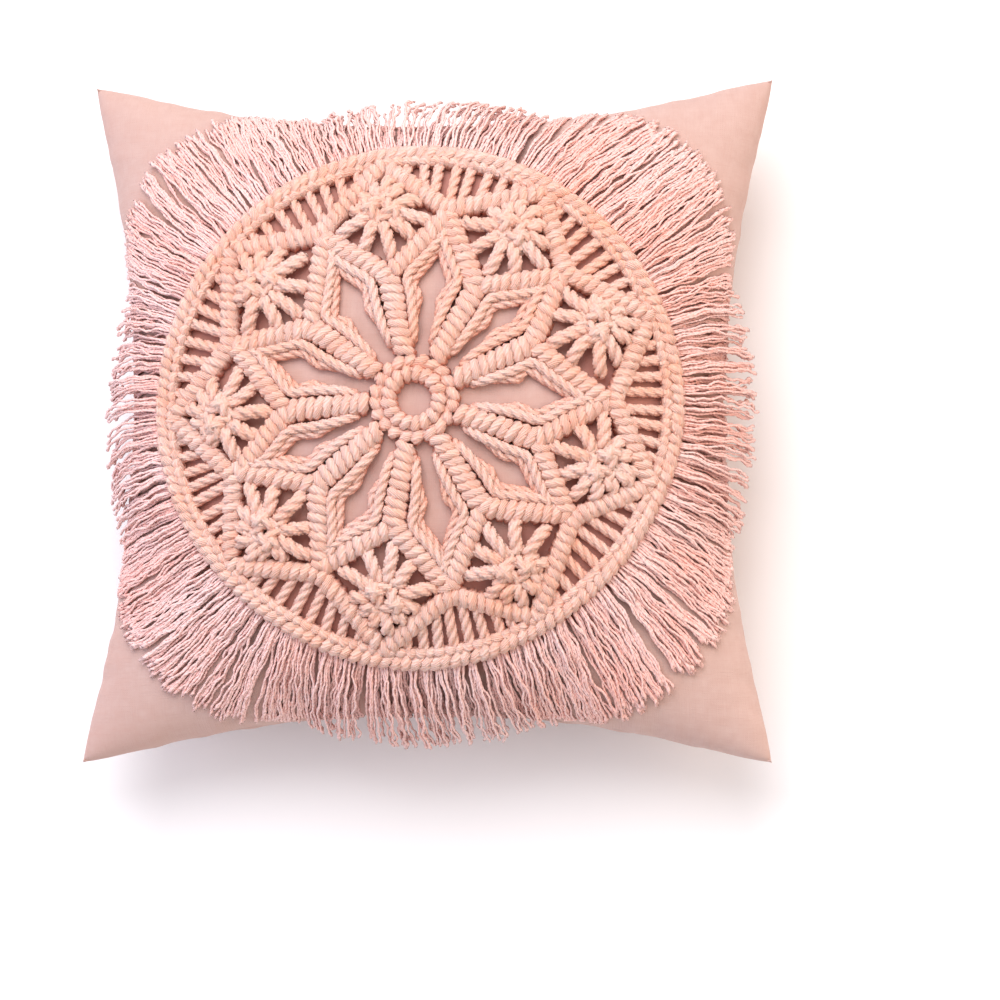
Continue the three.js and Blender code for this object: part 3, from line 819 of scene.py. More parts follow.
def finish_material(name, roughness, sheen, sheen_rough, tint, specular):
    """A new material, its tree and its shader, on which the numbers that hold all over are set."""
    material = bpy.data.materials.new(name)
    material.use_nodes = True
    tree = material.node_tree
    shader = tree.nodes["Principled BSDF"]
    shader.inputs["Roughness"].default_value = roughness
    shader.inputs["Sheen Weight"].default_value = sheen
    shader.inputs["Sheen Roughness"].default_value = sheen_rough
    shader.inputs["Sheen Tint"].default_value = (*tint, 1)
    shader.inputs["Specular IOR Level"].default_value = specular
    return material, tree, shader


def group_node(tree, group, inputs):
    return node(tree, "ShaderNodeGroup", inputs, node_tree=group).outputs


def object_place(tree):
    return node(tree, "ShaderNodeTexCoord", {}).outputs["Object"]


def point_value(tree, name):
    return node(tree, "ShaderNodeAttribute", {}, attribute_name=name).outputs["Fac"]


def bumped(tree, shader, height, strength, distance):
    bump = node(tree, "ShaderNodeBump", {"Height": height, "Strength": strength, "Distance": distance})
    tree.links.new(bump.outputs[0], shader.inputs["Normal"])


def shade(colour, factor):
    """A colour with each of its parts scaled."""
    return tuple(min(1.0, c * f) for c, f in zip(colour, factor))


def cloth_material(name, colour, threads, groups, shade_under_work=False):
    """Woven cotton with slubs, flecks and uneven dye, and, where set, painted shade under the knotted work.
    """
    material, tree, shader = finish_material(name, 0.85, 0.12, 0.45, (1.0, 0.9, 0.87), 0.25)
    flat = node(tree, "ShaderNodeUVMap", {}, uv_map="panel").outputs[0]
    weave = group_node(tree, groups["weave"], {"Flat Map": flat, "Threads per Metre": threads})
    dye = group_node(tree, groups["dye"], {
        "Place": object_place(tree), "Base": colour, "Pale": shade(colour, (1.08, 1.14, 1.16)),
        "Strong": shade(colour, (0.97, 0.89, 0.86)), "Drift Size": 6.0})
    slubbed = mixed(tree, ranged(tree, weave["Slub"], 0.0, 1.4, 0.0, 0.35), dye["Colour"],
                    shade(colour, (0.93, 0.80, 0.76)))
    flecked = mixed(tree, ranged(tree, weave["Fleck"], 0.56, 0.78, 0.0, 0.45), slubbed,
                    shade(colour, (1.12, 1.22, 1.25)))
    if shade_under_work:
        # painted shade: under the knotted work the cloth is darkened and reddened
        flecked = mixed(tree, point_value(tree, "shade_under_work"), flecked, shade(colour, (0.86, 0.55, 0.50)))
    tree.links.new(flecked, shader.inputs["Base Color"])
    tree.links.new(ranged(tree, weave["Slub"], 0.0, 1.2, 0.78, 0.93), shader.inputs["Roughness"])
    bumped(tree, shader, weave["Height"], 0.55, 0.00022)
    return material


def cord_material(name, pale, peach, yarns, lay, groups, low_shade_strength=0.85, lines=0.4, depth=0.0005, soak=0.2):
    """Twisted cotton cord: yarn lines with painted shade in their grooves, fuzz, a tone for each cord, and
    painted shade where it lies low in the work.
    """
    material, tree, shader = finish_material(name, 0.88, 0.12, 0.5, (1.0, 0.88, 0.84), 0.2)
    shader.inputs["Subsurface Weight"].default_value = soak
    shader.inputs["Subsurface Radius"].default_value = (1.0, 0.62, 0.48)
    shader.inputs["Subsurface Scale"].default_value = 0.0014
    place = object_place(tree)
    flat = node(tree, "ShaderNodeUVMap", {}, uv_map="cord").outputs[0]
    laid = group_node(tree, groups["yarns"], {"Cord Map": flat, "Place": place, "Yarns": yarns, "Lay": lay})
    middle = tuple((a + b) / 2 for a, b in zip(pale, peach))
    dye = group_node(tree, groups["dye"], {"Place": place, "Base": middle, "Pale": pale, "Strong": peach,
                                           "Drift Size": 14.0})
    toned = mixed(tree, ranged(tree, point_value(tree, "tone"), 0.0, 1.0, 0.0, 0.6), dye["Colour"], pale)
    # painted shade in the grooves between the yarns
    groove_shaded = mixed(tree, maths(tree, "MULTIPLY", laid["Groove"], lines), toned,
                  shade(peach, (0.98, 0.68, 0.58)))
    fuzzed = mixed(tree, ranged(tree, laid["Fuzz"], 0.5, 0.8, 0.0, 0.25), groove_shaded,
                   shade(pale, (1.04, 1.10, 1.12)))
    # painted shade: cord that lies low in the work (the deep mask) is darkened and reddened
    low_shaded = mixed(tree, maths(tree, "MULTIPLY", point_value(tree, "deep"), low_shade_strength), fuzzed,
                 shade(peach, (0.94, 0.62, 0.58)))
    tree.links.new(low_shaded, shader.inputs["Base Color"])
    tree.links.new(ranged(tree, laid["Fuzz"], 0.3, 0.7, 0.82, 0.95), shader.inputs["Roughness"])
    height = maths(tree, "ADD", laid["Height"], maths(tree, "MULTIPLY", laid["Fuzz"], 0.35))
    bumped(tree, shader, height, 1.0, depth)
    return material


def fill_material(name, groups):
    """Crimped polyester fibre."""
    material, tree, shader = finish_material(name, 0.95, 0.6, 0.5, (1, 1, 1), 0.2)
    tuft = noise(tree, object_place(tree), 90.0, 8.0, 0.72, 1.5)
    tree.links.new(mixed(tree, tuft, (0.80, 0.79, 0.76), (0.96, 0.96, 0.95)), shader.inputs["Base Color"])
    tree.links.new(ranged(tree, tuft, 0.3, 0.7, 0.88, 1.0), shader.inputs["Roughness"])
    bumped(tree, shader, tuft, 0.8, 0.003)
    return material


def floor_material():
    material, tree, shader = finish_material("pale_floor", 0.9, 0.0, 0.5, (1, 1, 1), 0.1)
    grain = noise(tree, object_place(tree), 3.0)
    tree.links.new(mixed(tree, grain, (0.94, 0.935, 0.93), (0.96, 0.955, 0.95)), shader.inputs["Base Color"])
    return material


FINISHES = {}


def finishes():
    """Every material of the cushion, made once."""
    if FINISHES:
        return FINISHES
    scene = bpy.context.scene
    groups = {"weave": weave_group(), "dye": dye_group(), "yarns": yarn_group()}
    cloth = tuple(scene.cushion_cover.colour)
    pale, peach = tuple(scene.cushion_knots.pale), tuple(scene.cushion_knots.peach)
    yarn = tuple(scene.cushion_fringe.colour)
    FINISHES.update(
        cover=cloth_material("cover_cotton", cloth, 1500.0, groups, shade_under_work=True),
        back=cloth_material("cover_cotton_back", cloth, 1500.0, groups),
        # the cord materials also set how strong their painted shade is, low in the work and in the yarn
        # grooves
        hitches=cord_material("hitched_cord", pale, peach, 12.0, 18.0, groups, depth=0.0004),
        cords=cord_material("three_ply_cord", pale, peach, 12.0, -38.0, groups, lines=0.3, depth=0.0003),
        fringe=cord_material("combed_yarn", shade(yarn, (1.0, 1.14, 1.2)), shade(yarn, (1.0, 0.86, 0.80)),
                             2.0, 30.0, groups, low_shade_strength=0.15, lines=0.15, depth=0.0002, soak=0.0),
        thread=cord_material("sewing_thread", shade(cloth, (1.1, 1.15, 1.15)), cloth, 2.0, 200.0, groups,
                             low_shade_strength=0.0),
        insert=cloth_material("insert_cotton", (0.83, 0.80, 0.74), 1300.0, groups),
        fill=fill_material("polyester_fibre", groups),
    )
    return FINISHES


# ---------------------------------------------------------------- cover pieces


def sheet_mesh(name, cells, flat, flip):
    bm = bmesh.new()
    grid_mesh(bm, cells, flat, flip)
    mesh = finished_mesh(name, bm)
    mesh.uv_layers[0].name = "panel"
    return mesh


def thicken(obj, thickness):
    """Smooths a sheet and gives it the thickness of its cloth."""
    smooth = obj.modifiers.new("Smooth", "SUBSURF")
    smooth.levels = smooth.render_levels = 1
    wall = obj.modifiers.new("Cloth thickness", "SOLIDIFY")
    wall.thickness = thickness
    wall.offset = -1
    wall.use_even_offset = False


def height_map(front):
    """Heights of the settled front on a square grid, 2 mm apart, and zero past the seam."""
    side = front.shape[0]
    faces = [(i * side + j, (i + 1) * side + j, (i + 1) * side + j + 1, i * side + j + 1)
             for i in range(side - 1) for j in range(side - 1)]
    tree = BVHTree.FromPolygons([tuple(point) for point in front.reshape(-1, 3)], faces)
    line = np.arange(-0.25, 0.2501, 0.002)
    heights = np.zeros((len(line), len(line)))
    down = Vector((0, 0, -1))
    for i, x in enumerate(line):
        for j, y in enumerate(line):
            hit = tree.ray_cast(Vector((x, y, 1)), down)[0]
            if hit is not None:
                heights[i, j] = hit.z
    return line, heights


def settled_height(x, y):
    """Height of the settled front over points of the plan, by the four grid points around each."""
    line, heights = SHELL["map"]
    step = line[1] - line[0]
    fx = np.clip((np.asarray(x) - line[0]) / step, 0, len(line) - 1.001)
    fy = np.clip((np.asarray(y) - line[0]) / step, 0, len(line) - 1.001)
    i, j = fx.astype(int), fy.astype(int)
    a, b = fx - i, fy - j
    return ((heights[i, j] * (1 - a) + heights[i + 1, j] * a) * (1 - b)
            + (heights[i, j + 1] * (1 - a) + heights[i + 1, j + 1] * a) * b)


class CUSHION_OT_cover(bpy.types.Operator):
    """Settle the filled cover and make its front and its two back panels"""

    bl_idname = "cushion.cover"
    bl_label = "Cover"

    def execute(self, context):
        s = context.scene.cushion_cover
        front, back = settle_cover(s)
        SHELL["front"], SHELL["back"] = front, back
        SHELL["flat_front"] = flat_cells(front, s.panel_side)
        SHELL["flat_back"] = flat_cells(back, s.panel_side)
        SHELL["map"] = height_map(front)
        lines = seam_lines()
        cells = puckered(resampled(front, lines, lines), 1, 11)
        flat = resampled(SHELL["flat_front"], lines, lines)
        mesh = sheet_mesh("cover_front", cells, flat, False)
        self.mark_under_work(mesh)
        piece = add_piece("cover_front", mesh, finishes()["cover"], "cover_cloth", "front_panel")
        thicken(piece, s.cloth)
        SHELL["front_piece"] = piece
        self.back_panels(s, back, lines)
        return {"FINISHED"}

    def mark_under_work(self, mesh):
        """How much painted shade each point gets where the knotted work would shade the cover."""
        co = vertex_places(mesh)
        reach = np.hypot(co[:, 0], co[:, 1])
        shaded = np.clip((reach - 0.088) / 0.02, 0, 1) * np.clip((0.17 - reach) / 0.008, 0, 1)
        point_values(mesh, "shade_under_work", shaded * 0.8)

    def back_panels(self, s, back, lines):
        """The lower panel with its folded hem, over the upper panel that runs on under it."""
        middle_line = lattice_line(LATTICE_CELLS)
        places = np.arange(LATTICE_CELLS + 1.0)

        def place_of(y):
            return float(np.interp(y / s.half_side, middle_line, places))

        layer = s.cloth + 0.0003
        cells = puckered(resampled(back, lines, lines), -1, 12)
        flat = resampled(SHELL["flat_back"], lines, lines)

        def strip(rows, depths):
            """Rows across the back at these places, each this deep under the outer face."""
            at = np.interp(rows, lines, np.arange(len(lines)))
            part = along_axis(cells, at, 1)
            chart = along_axis(flat, at, 1)
            normal = along_axis(cell_normals(cells, -1), at, 1)
            normal /= np.linalg.norm(normal, axis=-1, keepdims=True)
            return part - normal * np.asarray(depths)[None, :, None], chart

        edge = place_of(0.0)
        below = [row for row in lines if row < place_of(-s.hem) - 0.3]
        hem = list(np.linspace(place_of(-s.hem), edge, 8))
        hem_depths = [0.0007, 0.0002] + [0.0] * 6  # the stitches pull its first rows in
        fold = [place_of(0.0006), place_of(0.0008), place_of(0.0006)]
        fold_depths = [layer * 0.35, layer, layer * 1.65]
        depths = [0.0] * len(below) + hem_depths + fold_depths + [2 * layer] * len(hem)
        part, chart = strip(below + hem + fold + hem[::-1], depths)
        outside = len(below) + len(hem)
        crease = chart[:, outside - 1, 1][:, None]
        chart[:, outside:, 1] = 2 * crease - chart[:, outside:, 1]
        lower = self.back_panel("cover_back_lower", part, chart, s.cloth, "back_panel_lower")
        under = 3 * layer
        tucked = list(np.linspace(place_of(-s.tuck), place_of(-0.001), 18))
        jog = [place_of(y) for y in (0.0012, 0.0035, 0.006, 0.009)]
        jog_depths = [under * share for share in (0.97, 0.75, 0.35, 0.1)]
        above = [row for row in lines if row > place_of(0.012)]
        depths = [under] * len(tucked) + jog_depths + [0.0] * len(above)
        part, chart = strip(tucked + jog + above, depths)
        upper = self.back_panel("cover_back_upper", part, chart, s.cloth, "back_panel_upper")
        SHELL["back_cells"] = cells
        SHELL["hem_place"] = np.interp(place_of(-s.hem + 0.0015), lines, np.arange(len(lines)))

    def back_panel(self, name, cells, flat, cloth, cad_node):
        mesh = sheet_mesh(name, cells, flat, True)
        piece = add_piece(name, mesh, finishes()["back"], "cover_cloth", cad_node)
        thicken(piece, cloth)
        return piece


class CUSHION_OT_hem_stitches(bpy.types.Operator):
    """Sew the line of stitches that holds the hem of the lower back panel"""

    bl_idname = "cushion.hem_stitches"
    bl_label = "Hem Stitches"

    # one stitch: places as shares of its length, and their lifts above the cloth
    STITCH = ((0.0, -0.0004), (0.18, 0.00025), (0.5, 0.0004), (0.82, 0.00025), (1.0, -0.0004))

    def execute(self, context):
        cells = SHELL["back_cells"]
        normal = cell_normals(cells, -1)
        line = along_axis(cells, [SHELL["hem_place"]], 1)[:, 0]
        out = along_axis(normal, [SHELL["hem_place"]], 1)[:, 0]
        run = run_along(line)
        rng = random.Random(5)
        cords = []
        for n in range(2, int(run[-1] / STITCH_PITCH) - 2):
            points = []
            for share, lift in self.STITCH:
                place = (n + 0.12 + share * 0.76) * STITCH_PITCH
                point = np.array([np.interp(place, run, line[:, axis]) for axis in range(3)])
                away = np.array([np.interp(place, run, out[:, axis]) for axis in range(3)])
                point += away * lift
                point[2] = max(point[2], UNDERSIDE)
                points.append(tuple(point))
            cords.append(Cord(points, STITCH_RADIUS, turns=1.0, start=rng.uniform(0, 6), tone=rng.random(),
                              ends=0.7))
        add_cords("hem_stitching", cords, regular_section(6), "thread", "sewing_thread")
        return {"FINISHED"}


class CUSHION_OT_insert(bpy.types.Operator):
    """Make the insert: its cotton case, top and bottom, and its fibre filling"""

    bl_idname = "cushion.insert"
    bl_label = "Insert"

    def execute(self, context):
        lines = np.linspace(0, LATTICE_CELLS, 43)
        for name, side, sign, node_name in (("insert_case_top", "front", 1, "insert_cover_top"),
                                            ("insert_case_bottom", "back", -1, "insert_cover_bottom")):
            cells = self.inset(side, lines, 0.0062)
            flat = resampled(SHELL["flat_" + side], lines, lines)
            piece = add_piece(name, sheet_mesh(name, cells, flat, sign < 0), finishes()["insert"],
                              "insert_cloth", node_name)
            thicken(piece, INSERT_CLOTH)
        bm = bmesh.new()
        for side, sign in (("front", 1), ("back", -1)):
            cells = self.inset(side, lines, 0.0085)
            grid_mesh(bm, cells, resampled(SHELL["flat_" + side], lines, lines), sign < 0)
        bmesh.ops.remove_doubles(bm, verts=bm.verts, dist=2e-4)
        bmesh.ops.recalc_face_normals(bm, faces=bm.faces)
        filling = add_piece("insert_filling", finished_mesh("insert_filling", bm), finishes()["fill"],
                            "fibre_fill", "insert_fill")
        return {"FINISHED"}

    def inset(self, side, lines, depth):
        """Cells this deep under the cover, narrowed so that the halves meet inside the seam."""
        cells = resampled(SHELL[side], lines, lines)
        s = bpy.context.scene.cushion_cover
        cells[..., :2] *= 1 - 2.4 * depth / s.half_side
        rise = cells[..., 2] - s.seam_height
        cells[..., 2] = s.seam_height + np.sign(rise) * np.clip(np.abs(rise) - depth, 0, None)
        return cells


# ---------------------------------------------------------------- knotted panel


class CUSHION_OT_rings(bpy.types.Operator):
    """Tie the centre ring and the outer ring over their carrying cords"""

    bl_idname = "cushion.rings"
    bl_label = "Rings"

    def execute(self, context):
        rng = random.Random(21)
        # for each row: how many, the first one's place, drift, inner and outer radius, height, cord and slant
        self.hitches("centre_ring", ((17, 0, 1.5, 0.0106, 0.0204, 0.0112, 0.0034, 0.0010),
                                     (20, 7 / 18, 1.5, 0.0198, 0.0274, 0.0094, 0.0038, 0.0016)), rng)
        self.hitches("outer_ring", ((158, 0.5, 0.25, 0.1500, 0.1594, 0.0124, 0.0037, 0.0024),
                                    (158, 1.0, 0.25, 0.1476, 0.1522, 0.0106, 0.0034, 0.0020)), rng)
        self.carriers("centre_ring_carriers", [(0.0165, 0.0045, 0.0030), (0.0218, 0.0038, 0.0026)], 30,
                      "centre_ring_core")
        self.carriers("outer_ring_carriers", [(0.1520, 0.0034, 0.0028), (0.1564, 0.0040, 0.0030)], 120,
                      "outer_ring_core")
        self.tacks("centre_ring_tacks", 0.0187, 22, "centre_ring_tacking")
        self.tacks("outer_ring_tacks", 0.1548, 150, "outer_ring_tacking")
        return {"FINISHED"}

    def hitches(self, ring, rows, rng):
        """Rows of hitches over a ring, each from its inner side to its outer side."""
        made = []
        for count, first, drift, inner, outer, height, radius, slant in rows:
            for n in range(count):
                out = polar(1.0, (n + first) * 360 / count + rng.uniform(-drift, drift))
                made.append(hitch(out * (inner + outer) / 2, out, outer - inner + radius * 0.4,
                                  height * rng.uniform(0.97, 1.03), radius, slant, rng))
        add_cords(f"{ring}_hitches", made, BEADED, "hitches", "knotted_cord", f"{ring}_knots")

    def carriers(self, name, rings, steps, cad_node):
        """Cords inside a ring: a radius, a lift and a thickness for each."""
        cords = []
        for radius, lift, thick in rings:
            plan = [polar(radius, 360 * n / steps) for n in range(steps)]
            cords.append(Cord(on_cover(plan, lift), thick, tone=0.4, closed=True))
        add_cords(name, cords, ROUND, "cords", "knotted_cord", cad_node)

    def tacks(self, name, radius, count, cad_node):
        """Small stitches that hold a ring to the cover."""
        rng = random.Random(9)
        cords = []
        for n in range(count):
            plan = [polar(radius + shift, 360 * (n + turn) / count)
                    for shift, turn in ((-0.0012, 0.0), (-0.0004, 0.2), (0.0006, 0.45), (0.0012, 0.6))]
            cords.append(Cord(on_cover(plan, [0.0002, 0.0009, 0.0009, 0.0002]), 0.0003, turns=0.6,
                              tone=rng.random(), ends=0.8))
        add_cords(name, cords, regular_section(5), "thread", "sewing_thread", cad_node)


class CUSHION_OT_petal_ribs(bpy.types.Operator):
    """Tie the nine spokes with their forked arms, and lay the loose cords along them"""

    bl_idname = "cushion.petal_ribs"
    bl_label = "Petal Ribs"

    def execute(self, context):
        knots = context.scene.cushion_knots
        for k in range(SECTORS):
            rng = random.Random(100 + k)
            root, near, fork = (polar(radius, spoke_angle(k))
                                for radius in (EYE_OUTER + 0.0012, 0.05, FORK_RADIUS))
            left = polar(SIDE_RADIUS - 0.001, side_angle(k + 1))
            right = polar(SIDE_RADIUS - 0.003, side_angle(k))
            left_dir, right_dir = (left - fork).normalized(), (right - fork).normalized()
            bend = [fork - (fork - near).normalized() * 0.004, fork + left_dir * 0.007]
            spoke_and_arm = wrapped_bar([root, near, *bend, left],
                                        [0.0142, 0.0163, 0.0178, 0.0164, ARM_WIDTH, 0.0144],
                                        knots.wrap_pitch, knots.wrap_radius, rng)
            other_arm = wrapped_bar([fork + right_dir * 0.0035, fork + right_dir * 0.02, right],
                                    [0.0134, ARM_WIDTH, 0.0142], knots.wrap_pitch, knots.wrap_radius, rng,
                                    lift=0.0004)
            loose = (self.leaf_cords(k, 1, fork, left, left_dir, knots, rng)
                     + self.leaf_cords(k, -1, fork, right, right_dir, knots, rng))
            add_bars(f"petal_hitches_{k + 1}", (spoke_and_arm, other_arm), f"petal_rib_{k + 1}")
            add_cords(f"petal_side_cords_{k + 1}", loose, LOBED, "cords", "knotted_cord",
                      f"petal_rib_{k + 1}")
        return {"FINISHED"}

    def leaf_cords(self, k, sign, fork, end, direction, knots, rng):
        """Two cords that hug one side of the spoke, and then run along the inner side of the arm."""
        axis = polar(1.0, spoke_angle(k))
        side = left_of(axis) * sign
        beside = left_of(direction) * sign
        cords = []
        for gap, start, lift, radius in ((0.0, 0.034, 0.0064, 0.0035), (0.0046, 0.044, 0.0034, 0.0034)):
            gap += rng.uniform(-0.0004, 0.0004)
            plan = [axis * start + side * (0.0060 + gap * 0.3),
                    axis * (start + 0.012) + side * (0.0092 + gap * 0.8),
                    axis * 0.062 + side * (0.0108 + gap),
                    fork + direction * 0.008 + beside * (0.0090 + gap),
                    fork + direction * 0.023 + beside * (0.0084 + gap * 0.75),
                    end + direction * -0.009 + beside * (0.0072 + gap * 0.3),
                    end + direction * 0.001 + beside * 0.004]
            lifts = [0.0022, lift, lift, lift, lift, lift - 0.0004, 0.0026]
            cords.append(loose_cord(plan, lifts, radius, rng, knots.twist_pitch * 0.92, ends=0.6))
        return cords


class CUSHION_OT_star_ribs(bpy.types.Operator):
    """Tie the nine pairs of roof bars that make the star's points"""

    bl_idname = "cushion.star_ribs"
    bl_label = "Star Ribs"

    def execute(self, context):
        knots = context.scene.cushion_knots
        for k in range(SECTORS):
            rng = random.Random(200 + k)
            tip = polar(TIP_RADIUS, tip_angle(k))
            left = polar(SIDE_RADIUS + 0.0015, side_angle(k + 1))
            right = polar(SIDE_RADIUS + 0.0015, side_angle(k))
            # the left bar closes over the point, and the right one stops at its side
            end = tip + (tip - left).normalized() * 0.0012
            over = wrapped_bar([left, (left + tip) / 2, end], [0.0133, ROOF_WIDTH, 0.0130],
                               knots.wrap_pitch * 0.97, knots.wrap_radius, rng, lift=0.0005)
            end = tip - (tip - right).normalized() * 0.0042
            beside = wrapped_bar([right, (right + tip) / 2, end], [0.0133, ROOF_WIDTH, 0.0128],
                                 knots.wrap_pitch * 0.97, knots.wrap_radius, rng, slant=-0.0016)
            add_bars(f"star_hitches_{k + 1}", (over, beside), f"star_rib_{k + 1}")
        return {"FINISHED"}


def reach_to(origin, direction, start, end, width):
    """How far a ray may run before it comes to the side of a bar."""
    normal = left_of((end - start).normalized())
    offset = (start - origin).dot(normal)
    closing = direction.dot(normal) * math.copysign(1, offset)
    room = abs(offset) - width / 2
    return room / closing if closing > 1e-6 else 1.0


class CUSHION_OT_flower_knots(bpy.types.Operator):
    """Tie the nine flower knots inside the star's points"""

    bl_idname = "cushion.flower_knots"
    bl_label = "Flower Knots"

    LOBE_TURNS = (-50, -20, 10, 40, 72, 108, 144, 180, 214, 248, 279)  # degrees from straight out
    STRAND = (0.0136, 0.0096, 0.0048)  # from the middle of a woven strand to its points
    STRAND_RADIUS = 0.0047

    def execute(self, context):
        knots = context.scene.cushion_knots
        for k in range(SECTORS):
            rng = random.Random(300 + k)
            outward = (tip_angle(k) + spoke_angle(k)) / 2
            middle = polar(FLOWER_RADIUS, outward)
            bars = self.bars(k)
            cords = []
            for turn in self.LOBE_TURNS:
                ray = polar(1.0, outward + turn + rng.uniform(-4, 4))
                reach = min(min(reach_to(middle, ray, *bar) for bar in bars) + 0.0035, 0.032)
                bend = left_of(ray) * rng.uniform(-0.0015, 0.0015)
                plan = [middle + ray * 0.0085, middle + ray * 0.0120, middle + ray * (reach * 0.75) + bend,
                        middle + ray * reach]
                lifts = [0.0050, 0.0086, 0.0080 + rng.uniform(-0.0008, 0.0010), 0.0036]
                cords.append(loose_cord(plan, lifts, self.STRAND_RADIUS * rng.uniform(0.95, 1.06), rng,
                                        knots.twist_pitch, step=0.0022, ends=0.75))
            cords += self.crossing(middle, outward, knots, rng)
            add_cords(f"flower_cords_{k + 1}", cords, LOBED, "cords", "knotted_cord", f"flower_knot_{k + 1}")
        return {"FINISHED"}

    def bars(self, k):
        """The four bars around a flower knot: two ends and a width for each."""
        tip, fork = polar(TIP_RADIUS, tip_angle(k)), polar(FORK_RADIUS, spoke_angle(k))
        left, right = polar(SIDE_RADIUS, side_angle(k + 1)), polar(SIDE_RADIUS, side_angle(k))
        return [(fork, left, ARM_WIDTH), (fork, right, ARM_WIDTH), (tip, left, ROOF_WIDTH),
                (tip, right, ROOF_WIDTH)]

    def crossing(self, middle, outward, knots, rng):
        """Four short strands woven over and under each other, two each way, that cover the middle."""
        cords = []
        for turn, first in ((24, 1), (114, -1)):
            ray = polar(1.0, outward + turn + rng.uniform(-5, 5))
            for side in (-1, 1):
                shift = left_of(ray) * side * (0.0048 + rng.uniform(-0.0004, 0.0004))
                over = first * side * 0.0023
                along = [-part for part in self.STRAND] + list(reversed(self.STRAND))
                plan = [middle + ray * part + shift for part in along]
                lifts = [0.0048, 0.0078, 0.0098 - over, 0.0098 + over, 0.0078, 0.0048]
                cords.append(loose_cord(plan, lifts, self.STRAND_RADIUS, rng, knots.twist_pitch,
                                        step=0.0021, ends=0.8))
        return cords


class CUSHION_OT_fans(bpy.types.Operator):
    """Lay the cords that fan out from the star to the outer ring"""

    bl_idname = "cushion.fans"
    bl_label = "Fans"

    COUNT = 10  # cords from one point of the star to the next
    OUTER = 0.152  # radius at which they end under the outer ring
    HIDDEN = 0.0035  # how far they run in under the roof bars
    LAST_EDGE = 0.148  # a cord that would start further out than this is left out

    def execute(self, context):
        knots = context.scene.cushion_knots
        for k in range(SECTORS):
            rng = random.Random(400 + k)
            side = polar(SIDE_RADIUS, side_angle(k + 1))
            low, high = tip_angle(k), tip_angle(k + 1)
            pitch = (high - low) / self.COUNT
            cords = []
            for n in range(self.COUNT):
                angle = low + (n + 0.5) * pitch + rng.uniform(-0.25, 0.25)
                tip = polar(TIP_RADIUS, low if angle < side_angle(k + 1) else high)
                edge = self.roof_edge(tip, side, angle)
                if edge > self.LAST_EDGE:
                    continue
                inner = edge - self.HIDDEN
                lean = rng.uniform(-0.5, 0.5)
                plan = [polar(inner, angle + lean), polar((inner + self.OUTER) / 2, angle + lean * 0.5),
                        polar(self.OUTER, angle)]
                lifts = [0.0042, 0.0036 + rng.uniform(0, 0.0004), 0.0042]
                cords.append(loose_cord(plan, lifts, knots.cord_radius * rng.uniform(0.97, 1.05), rng,
                                        knots.twist_pitch, step=0.0017, ends=0.8))
            add_cords(f"fan_strands_{k + 1}", cords, LOBED, "cords", "knotted_cord", f"fan_cords_{k + 1}")
        return {"FINISHED"}

    def roof_edge(self, start, end, degrees):
        """Radius at which a roof bar's outer side lies in this direction."""
        normal = left_of((end - start).normalized())
        outside = abs(start.dot(normal)) + ROOF_WIDTH / 2
        return outside / abs(polar(1.0, degrees).dot(normal))


# ---------------------------------------------------------------- fringe


